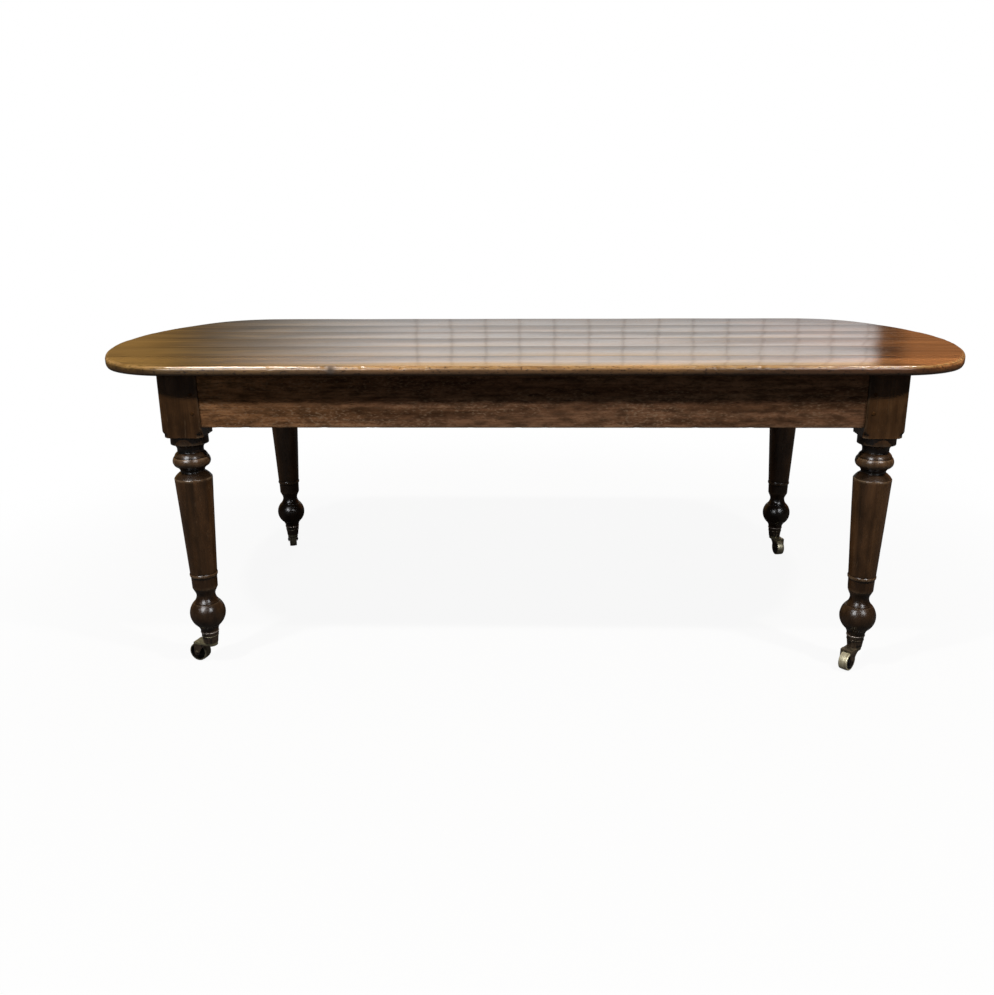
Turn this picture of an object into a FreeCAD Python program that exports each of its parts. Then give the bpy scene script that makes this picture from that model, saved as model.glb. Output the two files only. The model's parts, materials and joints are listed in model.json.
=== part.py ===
import FreeCAD, Part
import math
import os

# Farmhouse dining table: a bow-ended top of long boards on four turned legs,
# joined by pegged rails and rolling on brass cup castors.
# Millimetres, +Z up, +X along the boards, origin on the floor under the middle of the top.

# Table top
table_height = 760.0
top_length = 2190.0
top_width = 970.0
top_thickness = 24.0
bow_radius = 770.0          # plan radius of each bowed end
corner_radius = 205.0       # plan rounding from a bowed end into a long edge
upper_arris_radius = 9.0
lower_arris_radius = 7.0
board_width_shares = (0.158, 0.170, 0.166, 0.146, 0.160, 0.200)   # front board to back board
board_gap = 0.3             # open joint between neighbouring boards
joint_bevel = 0.8           # eased arris on each side of a board joint

# Dowels between the boards
dowel_diameter = 9.0
dowel_length = 60.0
dowel_place_shares = (-0.72, -0.36, 0.0, 0.36, 0.72)   # of half the top's length

# Under-frame
end_overhang = 246.0        # top beyond the leg blocks, at the middle of each bowed end
side_overhang = 25.5        # top beyond the leg blocks, along each long edge
rail_height = 124.0
rail_thickness = 28.0
rail_setback = 5.0          # rail face behind the leg block's face
rail_arris_radius = 2.0
tenon_length = 55.0
tenon_thickness = 12.0
tenon_upper_shoulder = 24.0
tenon_lower_shoulder = 12.0

# Pegs through the tenons
peg_diameter = 9.0
peg_depth = 36.0
peg_inset = 16.0            # peg centre from the leg block's inner edge
peg_spread_share = 0.5      # distance between a joint's two pegs, of the tenon's height
peg_proud = 0.6
peg_bevel = 1.0

# Cross bearers under the boards
bearer_offset = 290.0       # bearer centre from the middle of the table
bearer_width = 60.0
bearer_height = 44.0
bearer_stub_length = 14.0
bearer_stub_shoulder = 8.0

# Wooden buttons that hold the top down to the rails
button_length = 45.0
button_reach = 38.0
button_height = 22.0
button_gap = 0.8            # button body to rail face
groove_width = 8.0
groove_depth = 10.0
groove_drop = 12.0          # top of the groove below the rail's upper edge
long_rail_button_shares = (-0.78, 0.0, 0.78)   # of half the clear rail
outer_board_count = 1       # boards outside the two that take the end rails' buttons

# Slotted wood screws
screw_shank_diameter = 4.5
screw_head_diameter = 9.0
screw_bite = 13.0           # length held in a board
slot_width = 1.2
slot_depth = 1.0

# Leg: square block, then the turnings from the block down to the taper
leg_square = 90.0
leg_arris_radius = 2.0
block_drop = 24.0           # block bottom below the rails' lower edge
pommel_height = 8.0         # turned-off corners at the block's lower end
pommel_diameter = 113.0
ring_diameter = 87.0
ring_height = 20.0
upper_cove_height = 12.0
upper_neck_diameter = 60.6
upper_neck_height = 8.0
cap_diameter = 78.0         # domed cap on the large bead
cap_height = 13.0
bead_top_diameter = 81.0
bead_diameter = 87.0
bead_foot_diameter = 73.0
bead_rise = 10.5            # bead's widest line below its upper edge
bead_height = 23.0
lower_cove_height = 10.0
lower_neck_diameter = 56.2
lower_neck_height = 3.0
shoulder_diameter = 86.0
shoulder_height = 14.0
shoulder_step = 1.5
taper_top_diameter = 88.0

# Leg: the turnings from the castor cup up to the taper
foot_diameter = 43.4
foot_height = 3.0
ogee_height = 15.0
ball_foot_diameter = 59.0
ball_diameter = 86.0
ball_rise = 31.5            # ball's widest line above its lower edge
ball_height = 61.0
ball_cap_diameter = 59.0
ball_quirk = 1.7
ankle_diameter = 45.4
ankle_cove_height = 16.3
ankle_rise = 9.0
ankle_top_diameter = 49.0
collar_chamfer_height = 12.0
collar_foot_diameter = 60.4
collar_top_diameter = 62.0
collar_height = 30.0
fillet_bead_diameter = 66.6
fillet_bead_height = 9.0
taper_foot_diameter = 64.4

# How far the curved turnings swell (+) or hollow (-), as sagitta over half chord
upper_cove_swell_share = -0.35
cap_swell_share = 0.22
lower_cove_swell_share = -0.22
shoulder_swell_share = 0.12
ogee_swell_share = -0.18
ankle_cove_swell_share = -0.16
ankle_rise_swell_share = -0.12
fillet_bead_swell_share = 0.35

# Castor wheel and axle
wheel_diameter = 48.0
wheel_width = 22.0
wheel_edge_radius = 1.6
tread_crown = 0.5
dish_depth = 6.5
rim_wall = 3.6
hub_diameter = 17.0
axle_diameter = 7.0
axle_head_diameter = 10.0
axle_head_height = 1.6

# Castor horn
trail = 34.0                # axle behind the swivel axis
horn_side_gap = 0.9
cheek_thickness = 3.6
fender_clearance = 1.5
fender_thickness = 4.0
fender_end_angle = 76.0     # degrees above the horizontal through the axle
boss_radius = 7.0
crown_radius = 16.2
crown_thickness = 7.0
crown_drop = 1.3            # crown's upper face below the fender's highest line
crown_throat_share = 0.6    # underside of the crown kept flat, of its radius
throat_swell_share = -0.2

# Castor cup and swivel pin
cup_height = 32.0
cup_wall = 2.4
cup_floor = 5.0
cup_rim_diameter = 44.0
cup_rim_height = 3.0
cup_body_top_diameter = 42.6
cup_foot_diameter = 35.0
cup_ring_diameter = 41.2
cup_ring_height = 2.4
cup_ring_rise = 18.0        # ring's lower edge above the cup's foot
cup_bead_swell_share = 0.5
pin_diameter = 9.0
pin_head_diameter = 15.0
pin_head_height = 3.0
pin_rivet_diameter = 14.0
pin_rivet_height = 2.0

# Screws through the castor cups
cup_screw_count = 3
cup_screw_diameter = 3.0
cup_screw_length = 11.0
cup_screw_head_diameter = 5.6
cup_screw_head_height = 1.6
cup_screw_rise = 25.0       # screw axis above the cup's foot
cup_screw_angle = 255.0     # direction of the first screw in plan, degrees
cup_screw_slot_width = 0.7

# Swivel direction of each castor at rest, degrees in plan
trail_angles = {
    "front_left": 164.0,
    "front_right": 226.0,
    "back_left": 107.0,
    "back_right": 281.0,
}

# Clearances
wood_fit = 0.1              # tenons, dowels and pegs in their holes
screw_fit = 0.05
shoulder_gap = 0.3          # rail shoulder to leg block
running_fit = 0.06          # radial, on the swivel pins and axles
swivel_gap = 0.3            # axial, between cup, crown and pin head
cut_overrun = 5.0
same_place = 0.01

# Places worked out from the sizes above; the frame is measured over the leg blocks' outer faces
frame_length = top_length - 2 * end_overhang
frame_width = top_width - 2 * side_overhang
underside = table_height - top_thickness
rail_bottom = underside - rail_height
block_bottom = rail_bottom - block_drop
leg_x = (frame_length - leg_square) / 2
leg_y = (frame_width - leg_square) / 2
clear_half_length = leg_x - leg_square / 2
clear_half_width = leg_y - leg_square / 2
rail_face_x = frame_length / 2 - rail_setback
rail_face_y = frame_width / 2 - rail_setback
tenon_bottom = rail_bottom + tenon_lower_shoulder
tenon_top = underside - tenon_upper_shoulder
groove_top = underside - groove_drop
axle_height = wheel_diameter / 2
fender_radius = axle_height + fender_clearance + fender_thickness
crown_top = axle_height + fender_radius - crown_drop
crown_bottom = crown_top - crown_thickness
cup_bottom = crown_top + swivel_gap
cup_rim = cup_bottom + cup_height
horn_half_width = wheel_width / 2 + horn_side_gap + cheek_thickness

Vector = FreeCAD.Vector
UP = Vector(0, 0, 1)
ALONG = Vector(1, 0, 0)
AWAY = Vector(0, 1, 0)
CORNERS = {
    "front_left": (-1, -1),
    "front_right": (1, -1),
    "back_left": (-1, 1),
    "back_right": (1, 1),
}


def swell_of(degrees):
    """Sagitta over half chord of an arc that spans the given angle."""
    return math.tan(math.radians(degrees) / 4)


def dome_swell(rise, radius):
    """Swell of a dome's run from its edge to a level crown on the axis."""
    return math.tan(math.atan(rise / radius) / 2)


def run(start, end, swell, normal):
    """Edge from start to end: straight, or an arc that swells to the right of its travel."""
    if swell == 0:
        return Part.LineSegment(start, end).toShape()
    chord = end - start
    middle = (start + end) / 2 + chord.cross(normal) * (swell / 2)
    return Part.Arc(start, middle, end).toShape()


def face_of(points, normal):
    """Closed plane face; each point carries the swell of the run that leaves it."""
    edges = []
    for index, (start, swell) in enumerate(points):
        end = points[(index + 1) % len(points)][0]
        edges.append(run(start, end, swell, normal))
    return Part.Face(Part.Wire(edges))


def turned(profile):
    """Solid of revolution about Z from (radius, height, swell of the next run), top to bottom."""
    points = [(Vector(radius, 0, height), swell) for radius, height, swell in profile]
    return face_of(points, AWAY).revolve(Vector(0, 0, 0), UP, 360)


def block(low, high):
    """Box between two opposite corners."""
    size = high - low
    return Part.makeBox(size.x, size.y, size.z, low)


def grown_block(low, high, margin):
    """Box between two opposite corners, grown by a margin on all sides."""
    step = Vector(margin, margin, margin)
    return block(low - step, high + step)


def rod(radius, start, end):
    """Plain cylinder between two points."""
    axis = end - start
    return Part.makeCylinder(radius, axis.Length, start, axis)


def eased(solid, radius, choose):
    """Solid with the chosen edges rounded."""
    edges = [edge for edge in solid.Edges if choose(edge.CenterOfMass)]
    return solid.makeFillet(radius, edges)


def near(first, second):
    return abs(first - second) < same_place


def turned_to(solid, direction, place):
    """Copy of a solid made on +Z, laid along a direction with its origin at a place."""
    copy = solid.copy()
    copy.Placement = FreeCAD.Placement(place, FreeCAD.Rotation(UP, direction))
    return copy


def board_joints():
    """Y of every board edge, front to back."""
    edges = [-top_width / 2]
    for share in board_width_shares:
        edges.append(edges[-1] + share / sum(board_width_shares) * top_width)
    return edges


def board_middles():
    """Y of the middle of every board, front to back."""
    edges = board_joints()
    return [(front + back) / 2 for front, back in zip(edges, edges[1:])]


def whole_top():
    """The top before it is divided: straight long edges, rounded corners and bowed ends."""
    half_width = top_width / 2
    bow_centre = top_length / 2 - bow_radius
    bow_angle = math.degrees(math.asin((half_width - corner_radius) / (bow_radius - corner_radius)))
    bow_x = bow_centre + bow_radius * math.cos(math.radians(bow_angle))
    bow_y = bow_radius * math.sin(math.radians(bow_angle))
    straight = bow_centre + (bow_radius - corner_radius) * math.cos(math.radians(bow_angle))
    bow = swell_of(2 * bow_angle)
    corner = swell_of(90 - bow_angle)
    outline = [
        (bow_x, -bow_y, bow),
        (bow_x, bow_y, corner),
        (straight, half_width, 0),
        (-straight, half_width, corner),
        (-bow_x, bow_y, bow),
        (-bow_x, -bow_y, corner),
        (-straight, -half_width, 0),
        (straight, -half_width, corner),
    ]
    face = face_of([(Vector(x, y, underside), swell) for x, y, swell in outline], UP)
    slab = face.extrude(Vector(0, 0, top_thickness))
    slab = eased(slab, upper_arris_radius, lambda middle: near(middle.z, table_height))
    return eased(slab, lower_arris_radius, lambda middle: near(middle.z, underside))


def joint_bevels():
    """Prisms that ease the upper arrises along each board joint."""
    reach = top_length / 2 + cut_overrun
    prisms = []
    for y in board_joints()[1:-1]:
        corners = [(y - joint_bevel, table_height), (y, table_height - joint_bevel),
                   (y + joint_bevel, table_height), (y, table_height + joint_bevel)]
        points = [(Vector(-reach, across, height), 0) for across, height in corners]
        prisms.append(face_of(points, ALONG).extrude(Vector(2 * reach, 0, 0)))
    return prisms


def dowels(margin):
    """Dowels across the board joints, or their holes when grown by a margin."""
    rods = []
    half = Vector(0, dowel_length / 2 + margin, 0)
    for y in board_joints()[1:-1]:
        for share in dowel_place_shares:
            centre = Vector(share * top_length / 2, y, table_height - top_thickness / 2)
            rods.append(rod(dowel_diameter / 2 + margin, centre - half, centre + half))
    return rods


def rail_span(name):
    """Opposite corners of a rail between its shoulders."""
    if name in ("front", "back"):
        half = clear_half_length - shoulder_gap
        low = Vector(-half, rail_face_y - rail_thickness, rail_bottom)
        high = Vector(half, rail_face_y, underside)
        if name == "front":
            low.y, high.y = -high.y, -low.y
    else:
        half = clear_half_width - shoulder_gap
        low = Vector(rail_face_x - rail_thickness, -half, rail_bottom)
        high = Vector(rail_face_x, half, underside)
        if name == "left":
            low.x, high.x = -high.x, -low.x
    return low, high


def rail_tenons(name, margin):
    """The tenons at both ends of a rail, or their mortises when grown by a margin."""
    low, high = rail_span(name)
    cheek = (rail_thickness - tenon_thickness) / 2
    tenons = []
    for side in (-1, 1):
        first = Vector(low.x + cheek, low.y + cheek, tenon_bottom)
        last = Vector(high.x - cheek, high.y - cheek, tenon_top)
        if name in ("front", "back"):
            ends = sorted((side * high.x, side * (clear_half_length + tenon_length)))
            first.x, last.x = ends
        else:
            ends = sorted((side * high.y, side * (clear_half_width + tenon_length)))
            first.y, last.y = ends
        tenons.append(grown_block(first, last, margin))
    return tenons


def peg_places():
    """Face point and inward direction of every tenon peg."""
    middle = (tenon_bottom + tenon_top) / 2
    spread = (tenon_top - tenon_bottom) * peg_spread_share / 2
    places = []
    for side_x, side_y in CORNERS.values():
        for height in (middle - spread, middle + spread):
            front = Vector(side_x * (clear_half_length + peg_inset), side_y * frame_width / 2, height)
            end = Vector(side_x * frame_length / 2, side_y * (clear_half_width + peg_inset), height)
            places.append((front, Vector(0, side_y, 0)))
            places.append((end, Vector(side_x, 0, 0)))
    return places


def tenon_pegs(margin):
    """Pegs on the leg faces, or their holes when grown by a margin."""
    radius = peg_diameter / 2 + margin
    peg = turned([
        (0, peg_proud, 0),
        (radius - peg_bevel, peg_proud, 0),
        (radius, peg_proud - peg_bevel, 0),
        (radius, -peg_depth - margin, 0),
        (0, -peg_depth - margin, 0),
    ])
    return [turned_to(peg, outward, place) for place, outward in peg_places()]


def bearer_stubs(side, margin):
    """Stub tenons of one cross bearer, or their mortises when grown by a margin."""
    inner = rail_face_y - rail_thickness
    half = bearer_width / 2 - bearer_stub_shoulder
    low = underside - bearer_height + bearer_stub_shoulder
    high = underside - bearer_stub_shoulder
    x = side * bearer_offset
    stubs = []
    for edge in (-1, 1):
        ends = sorted((edge * (inner - shoulder_gap), edge * (inner + bearer_stub_length)))
        first = Vector(x - half, ends[0], low)
        stubs.append(grown_block(first, Vector(x + half, ends[1], high), margin))
    return stubs


def wood_screw(grip, margin):
    """Countersunk slotted screw driven upwards: origin at the head, grip up to the boards."""
    shank = screw_shank_diameter / 2 + margin
    head = screw_head_diameter / 2 + margin
    tip = grip + screw_bite + margin
    solid = turned([
        (0, tip, 0),
        (shank, tip - shank, 0),
        (shank, head - shank, 0),
        (head, 0, 0),
        (0, 0, 0),
    ])
    if margin:
        return solid
    slot = block(Vector(-head, -slot_width / 2, -slot_depth), Vector(head, slot_width / 2, slot_depth))
    return solid.cut(slot)


def bearer_screws(margin):
    """A screw from each bearer into the middle of each board."""
    screw = wood_screw(bearer_height, margin)
    return [turned_to(screw, UP, Vector(side * bearer_offset, y, underside - bearer_height))
            for side in (-1, 1) for y in board_middles()]


def button_places():
    """Rail face point under the top and direction into the frame, for every button."""
    inner_y = rail_face_y - rail_thickness
    inner_x = rail_face_x - rail_thickness
    places = []
    for share in long_rail_button_shares:
        for side in (-1, 1):
            places.append((Vector(share * clear_half_length, side * inner_y, underside), Vector(0, -side, 0)))
    middles = board_middles()
    for y in (middles[outer_board_count], middles[-1 - outer_board_count]):
        for side in (-1, 1):
            places.append((Vector(side * inner_x, y, underside), Vector(-side, 0, 0)))
    return places


def button_screw_place(place, inward):
    """Head of the screw in the middle of a button's underside."""
    return place + inward * (button_gap + button_reach / 2) - UP * button_height


def top_buttons():
    """L-shaped buttons with a tongue in the rail's groove and a hole for the screw."""
    half = button_length / 2
    body = block(Vector(button_gap, -half, -button_height), Vector(button_gap + button_reach, half, 0))
    tongue = block(Vector(wood_fit - groove_depth, -half, wood_fit - groove_drop - groove_width),
                   Vector(button_gap + button_reach / 2, half, -groove_drop - wood_fit))
    button = body.fuse(tongue).removeSplitter()
    hole = wood_screw(button_height, screw_fit)
    solids = []
    for place, inward in button_places():
        solid = button.copy()
        solid.Placement = FreeCAD.Placement(place, FreeCAD.Rotation(ALONG, inward))
        solids.append(solid.cut(turned_to(hole, UP, button_screw_place(place, inward))))
    return solids


def button_screws(margin):
    """A screw from each button into the board above it."""
    screw = wood_screw(button_height, margin)
    return [turned_to(screw, UP, button_screw_place(place, inward)) for place, inward in button_places()]


def top_boards():
    """The boards, cut from the whole top with their joints, dowel holes and screw holes."""
    slab = whole_top().cut(joint_bevels())
    holes = dowels(wood_fit) + bearer_screws(screw_fit) + button_screws(screw_fit)
    edges = board_joints()
    reach = top_length / 2 + cut_overrun
    boards = []
    for index in range(len(board_width_shares)):
        front = edges[index] + board_gap / 2
        back = edges[index + 1] - board_gap / 2
        if index == 0:
            front -= cut_overrun
        if index == len(board_width_shares) - 1:
            back += cut_overrun
        strip = block(Vector(-reach, front, underside - cut_overrun),
                      Vector(reach, back, table_height + cut_overrun))
        boards.append(slab.common(strip).cut(holes))
    return boards


def rail(name):
    """One rail with its tenons, button groove and the holes of its pegs and bearers."""
    low, high = rail_span(name)
    lengthwise = name in ("front", "back")
    body = block(low, high)
    body = eased(body, rail_arris_radius, lambda middle: near(middle.z, rail_bottom)
                 and near(middle.x if lengthwise else middle.y, 0))
    body = body.fuse(rail_tenons(name, 0)).removeSplitter()
    groove_low = Vector(low.x, low.y, groove_top - groove_width)
    groove_high = Vector(high.x, high.y, groove_top)
    wall = rail_thickness - groove_depth
    if name == "front":
        groove_low.y += wall
    elif name == "back":
        groove_high.y -= wall
    elif name == "left":
        groove_low.x += wall
    else:
        groove_high.x -= wall
    cuts = [block(groove_low, groove_high)] + tenon_pegs(wood_fit)
    if lengthwise:
        cuts += bearer_stubs(-1, wood_fit) + bearer_stubs(1, wood_fit)
    return body.cut(cuts)


def cross_bearer(side):
    """Bearer under the boards, stub-tenoned into the long rails."""
    half = rail_face_y - rail_thickness - shoulder_gap
    x = side * bearer_offset
    body = block(Vector(x - bearer_width / 2, -half, underside - bearer_height),
                 Vector(x + bearer_width / 2, half, underside))
    body = body.fuse(bearer_stubs(side, 0)).removeSplitter()
    return body.cut(bearer_screws(screw_fit))


def cup_radius_at(rise):
    """Outside radius of the cup's plain wall at a rise above its foot."""
    share = rise / cup_height
    return (cup_foot_diameter + (cup_body_top_diameter - cup_foot_diameter) * share) / 2


def foot_in_cup(margin):
    """The part of the leg inside the castor cup, or the cup's cavity when grown by a margin."""
    low = cup_floor + wood_fit - margin
    top = cup_radius_at(cup_height) - cup_wall - wood_fit + margin
    bottom = cup_radius_at(low) - cup_wall - wood_fit + margin
    return turned([
        (0, cup_rim, 0),
        (top, cup_rim, 0),
        (bottom, cup_bottom + low, 0),
        (0, cup_bottom + low, 0),
    ])


def leg_turnings():
    """The turned part of a leg from the block's underside to the castor cup, on the Z axis."""
    ring_foot = block_bottom - ring_height
    neck_top = ring_foot - upper_cove_height
    neck_foot = neck_top - upper_neck_height
    cap_foot = neck_foot - cap_height
    bead_foot = cap_foot - bead_height
    lower_neck_top = bead_foot - lower_cove_height
    lower_neck_foot = lower_neck_top - lower_neck_height
    shoulder_foot = lower_neck_foot - shoulder_height
    taper_top = shoulder_foot - shoulder_step
    foot_top = cup_rim + foot_height
    ball_foot = foot_top + ogee_height
    ball_top = ball_foot + ball_height
    cap_top = ball_top + ball_quirk
    ankle = cap_top + ankle_cove_height
    ankle_top = ankle + ankle_rise
    collar_foot = ankle_top + collar_chamfer_height
    collar_top = collar_foot + collar_height
    taper_foot = collar_top + fillet_bead_height

    # The ball is one arc through its lower edge and its widest line, cut off at its top
    drop = (ball_diameter - ball_foot_diameter) / 2
    ball_radius = (drop ** 2 + ball_rise ** 2) / (2 * drop)
    ball_upper = math.sqrt(ball_radius ** 2 - (ball_height - ball_rise) ** 2)
    ball_top_radius = ball_diameter / 2 - ball_radius + ball_upper
    ball_angle = math.asin(ball_rise / ball_radius) + math.asin((ball_height - ball_rise) / ball_radius)

    # The large bead is two arcs that share a vertical tangent at its widest line
    bead_upper = 2 * math.atan((bead_diameter - bead_top_diameter) / 2 / bead_rise)
    bead_lower = 2 * math.atan((bead_diameter - bead_foot_diameter) / 2 / (bead_height - bead_rise))

    profile = [
        (0, block_bottom, 0),
        (ring_diameter / 2, block_bottom, 0),
        (ring_diameter / 2, ring_foot, upper_cove_swell_share),
        (upper_neck_diameter / 2, neck_top, 0),
        (upper_neck_diameter / 2, neck_foot, cap_swell_share),
        (cap_diameter / 2, cap_foot, 0),
        (bead_top_diameter / 2, cap_foot, math.tan(bead_upper / 4)),
        (bead_diameter / 2, cap_foot - bead_rise, math.tan(bead_lower / 4)),
        (bead_foot_diameter / 2, bead_foot, lower_cove_swell_share),
        (lower_neck_diameter / 2, lower_neck_top, 0),
        (lower_neck_diameter / 2, lower_neck_foot, shoulder_swell_share),
        (shoulder_diameter / 2, shoulder_foot, 0),
        (taper_top_diameter / 2, taper_top, 0),
        (taper_foot_diameter / 2, taper_foot, fillet_bead_swell_share),
        (fillet_bead_diameter / 2, (taper_foot + collar_top) / 2, fillet_bead_swell_share),
        (collar_top_diameter / 2, collar_top, 0),
        (collar_foot_diameter / 2, collar_foot, 0),
        (ankle_top_diameter / 2, ankle_top, ankle_rise_swell_share),
        (ankle_diameter / 2, ankle, ankle_cove_swell_share),
        (ball_cap_diameter / 2, cap_top, 0),
        (ball_cap_diameter / 2, ball_top, 0),
        (ball_top_radius, ball_top, math.tan(ball_angle / 4)),
        (ball_foot_diameter / 2, ball_foot, ogee_swell_share),
        (foot_diameter / 2, foot_top, 0),
        (foot_diameter / 2, cup_rim, 0),
        (0, cup_rim, 0),
    ]
    return turned(profile)


def leg(name):
    """One leg: block with turned-off lower corners, turnings, foot and all its mortises."""
    side_x, side_y = CORNERS[name]
    half = leg_square / 2
    square = block(Vector(-half, -half, block_bottom), Vector(half, half, underside))
    square = eased(square, leg_arris_radius, lambda middle: near(middle.z, (block_bottom + underside) / 2))
    pommel = turned([
        (0, underside + cut_overrun, 0),
        (leg_square, underside + cut_overrun, 0),
        (leg_square, block_bottom + pommel_height + leg_square - pommel_diameter / 2, 0),
        (pommel_diameter / 2, block_bottom + pommel_height, 0),
        (pommel_diameter / 2, block_bottom, 0),
        (0, block_bottom, 0),
    ])
    solid = square.common(pommel).fuse([leg_turnings(), foot_in_cup(0)]).removeSplitter()
    solid.translate(Vector(side_x * leg_x, side_y * leg_y, 0))
    cuts = tenon_pegs(wood_fit) + cup_screws(name, screw_fit)
    for rail_name in name.split("_"):
        cuts += rail_tenons(rail_name, wood_fit)
    return solid.cut(cuts)


def cup_screws(name, margin):
    """Round-headed screws through one castor cup, or their holes when grown by a margin."""
    side_x, side_y = CORNERS[name]
    shank = cup_screw_diameter / 2 + margin
    head = cup_screw_head_diameter / 2 + margin
    seat = cup_radius_at(cup_screw_rise) - cup_screw_head_height / 2
    screw = turned([
        (0, cup_screw_head_height, dome_swell(cup_screw_head_height, head)),
        (head, 0, 0),
        (shank, 0, 0),
        (shank, -cup_screw_length - margin, 0),
        (0, -cup_screw_length - margin, 0),
    ])
    if not margin:
        slot = block(Vector(-head, -cup_screw_slot_width / 2, cup_screw_head_height / 2),
                     Vector(head, cup_screw_slot_width / 2, cup_screw_head_height + cut_overrun))
        screw = screw.cut(slot)
    screws = []
    for index in range(cup_screw_count):
        angle = math.radians(cup_screw_angle + index * 360 / cup_screw_count)
        outward = Vector(math.cos(angle), math.sin(angle), 0)
        place = Vector(side_x * leg_x, side_y * leg_y, cup_bottom + cup_screw_rise) + outward * seat
        screws.append(turned_to(screw, outward, place))
    return screws


def cup_screw_seats(name):
    """Flat seats for the screw heads in the wall of one castor cup."""
    side_x, side_y = CORNERS[name]
    axis = Vector(side_x * leg_x, side_y * leg_y, cup_bottom + cup_screw_rise)
    seat = cup_radius_at(cup_screw_rise) - cup_screw_head_height / 2
    seats = []
    for index in range(cup_screw_count):
        angle = math.radians(cup_screw_angle + index * 360 / cup_screw_count)
        outward = Vector(math.cos(angle), math.sin(angle), 0)
        seats.append(rod(cup_screw_head_diameter / 2 + screw_fit, axis + outward * seat,
                         axis + outward * (seat + cut_overrun)))
    return seats


def castor_cup(name):
    """Turned brass cup with a rim bead and a ring, bored for the swivel pin."""
    side_x, side_y = CORNERS[name]
    rim_foot = cup_rim - cup_rim_height
    ring_foot = cup_bottom + cup_ring_rise
    ring_top = ring_foot + cup_ring_height
    middle_of_ring = (ring_foot + ring_top) / 2
    solid = turned([
        (0, cup_rim, 0),
        (cup_body_top_diameter / 2, cup_rim, cup_bead_swell_share),
        (cup_rim_diameter / 2, (cup_rim + rim_foot) / 2, cup_bead_swell_share),
        (cup_radius_at(cup_height - cup_rim_height), rim_foot, 0),
        (cup_radius_at(cup_ring_rise + cup_ring_height), ring_top, cup_bead_swell_share),
        (cup_ring_diameter / 2, middle_of_ring, cup_bead_swell_share),
        (cup_radius_at(cup_ring_rise), ring_foot, 0),
        (cup_foot_diameter / 2, cup_bottom, 0),
        (0, cup_bottom, 0),
    ])
    solid = solid.cut([foot_in_cup(wood_fit), swivel_pin_solid(screw_fit)])
    solid.translate(Vector(side_x * leg_x, side_y * leg_y, 0))
    return solid.cut(cup_screws(name, screw_fit) + cup_screw_seats(name))


def swivel_pin_solid(margin):
    """Pin riveted into the cup's floor, with the head that carries the horn, on the Z axis."""
    rivet_top = cup_bottom + cup_floor + margin
    rivet_foot = cup_bottom + cup_floor - pin_rivet_height - margin
    head_top = crown_bottom - swivel_gap
    return turned([
        (0, rivet_top, 0),
        (pin_rivet_diameter / 2 + margin, rivet_top, 0),
        (pin_rivet_diameter / 2 + margin, rivet_foot, 0),
        (pin_diameter / 2 + margin, rivet_foot, 0),
        (pin_diameter / 2 + margin, head_top, 0),
        (pin_head_diameter / 2, head_top, 0),
        (pin_head_diameter / 2, head_top - pin_head_height / 2, 0),
        (pin_diameter / 2, head_top - pin_head_height, 0),
        (0, head_top - pin_head_height, 0),
    ])


def swivel_pin(name):
    side_x, side_y = CORNERS[name]
    return swivel_pin_solid(0).translated(Vector(side_x * leg_x, side_y * leg_y, 0))


def on_castor(solid, name):
    """Move a solid made with its trail along +X to its leg, turned to the castor's direction."""
    side_x, side_y = CORNERS[name]
    solid.rotate(Vector(0, 0, 0), UP, trail_angles[name])
    solid.translate(Vector(side_x * leg_x, side_y * leg_y, 0))
    return solid


def castor_horn(name):
    """Horn: a crown on the swivel pin, a fender over the wheel and two cheeks for the axle."""
    meet_angle = math.degrees(math.asin((fender_radius - crown_drop) / fender_radius))
    meet = math.radians(meet_angle)
    end = math.radians(fender_end_angle)
    outline = [
        (-crown_radius, crown_top, 0),
        (trail - fender_radius * math.cos(meet), crown_top, swell_of(180 - meet_angle - fender_end_angle)),
        (trail + fender_radius * math.cos(end), axle_height + fender_radius * math.sin(end), 0),
        (trail + boss_radius, axle_height, swell_of(180)),
        (trail - boss_radius, axle_height, throat_swell_share),
        (crown_radius * crown_throat_share, crown_bottom, 0),
        (-crown_radius, crown_bottom, 0),
    ]
    points = [(Vector(along, -horn_half_width, height), swell) for along, height, swell in outline]
    side = face_of(points, AWAY).extrude(Vector(0, 2 * horn_half_width, 0))
    reach = trail + fender_radius + cut_overrun
    plan = Part.makeCylinder(crown_radius, crown_top + cut_overrun).fuse(
        block(Vector(0, -horn_half_width, 0), Vector(reach, horn_half_width, crown_top + fender_radius)))
    slot_half = Vector(0, wheel_width / 2 + horn_side_gap, 0)
    axle = Vector(trail, 0, axle_height)
    through = Vector(0, horn_half_width + cut_overrun, 0)
    cuts = [
        rod(axle_height + fender_clearance, axle - slot_half, axle + slot_half),
        rod(axle_diameter / 2 + screw_fit, axle - through, axle + through),
        rod(pin_diameter / 2 + running_fit, Vector(0, 0, crown_bottom - cut_overrun),
            Vector(0, 0, crown_top + cut_overrun)),
    ]
    return on_castor(side.common(plan).cut(cuts).removeSplitter(), name)


def axle_pin(name):
    """Axle with a domed head peened over each cheek."""
    half = horn_half_width
    head = axle_head_diameter / 2
    dome = dome_swell(axle_head_height, head)
    solid = turned([
        (0, half + axle_head_height, dome),
        (head, half, 0),
        (axle_diameter / 2, half, 0),
        (axle_diameter / 2, -half, 0),
        (head, -half, dome),
        (0, -half - axle_head_height, 0),
    ])
    return on_castor(turned_to(solid, AWAY, Vector(trail, 0, axle_height)), name)


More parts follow.
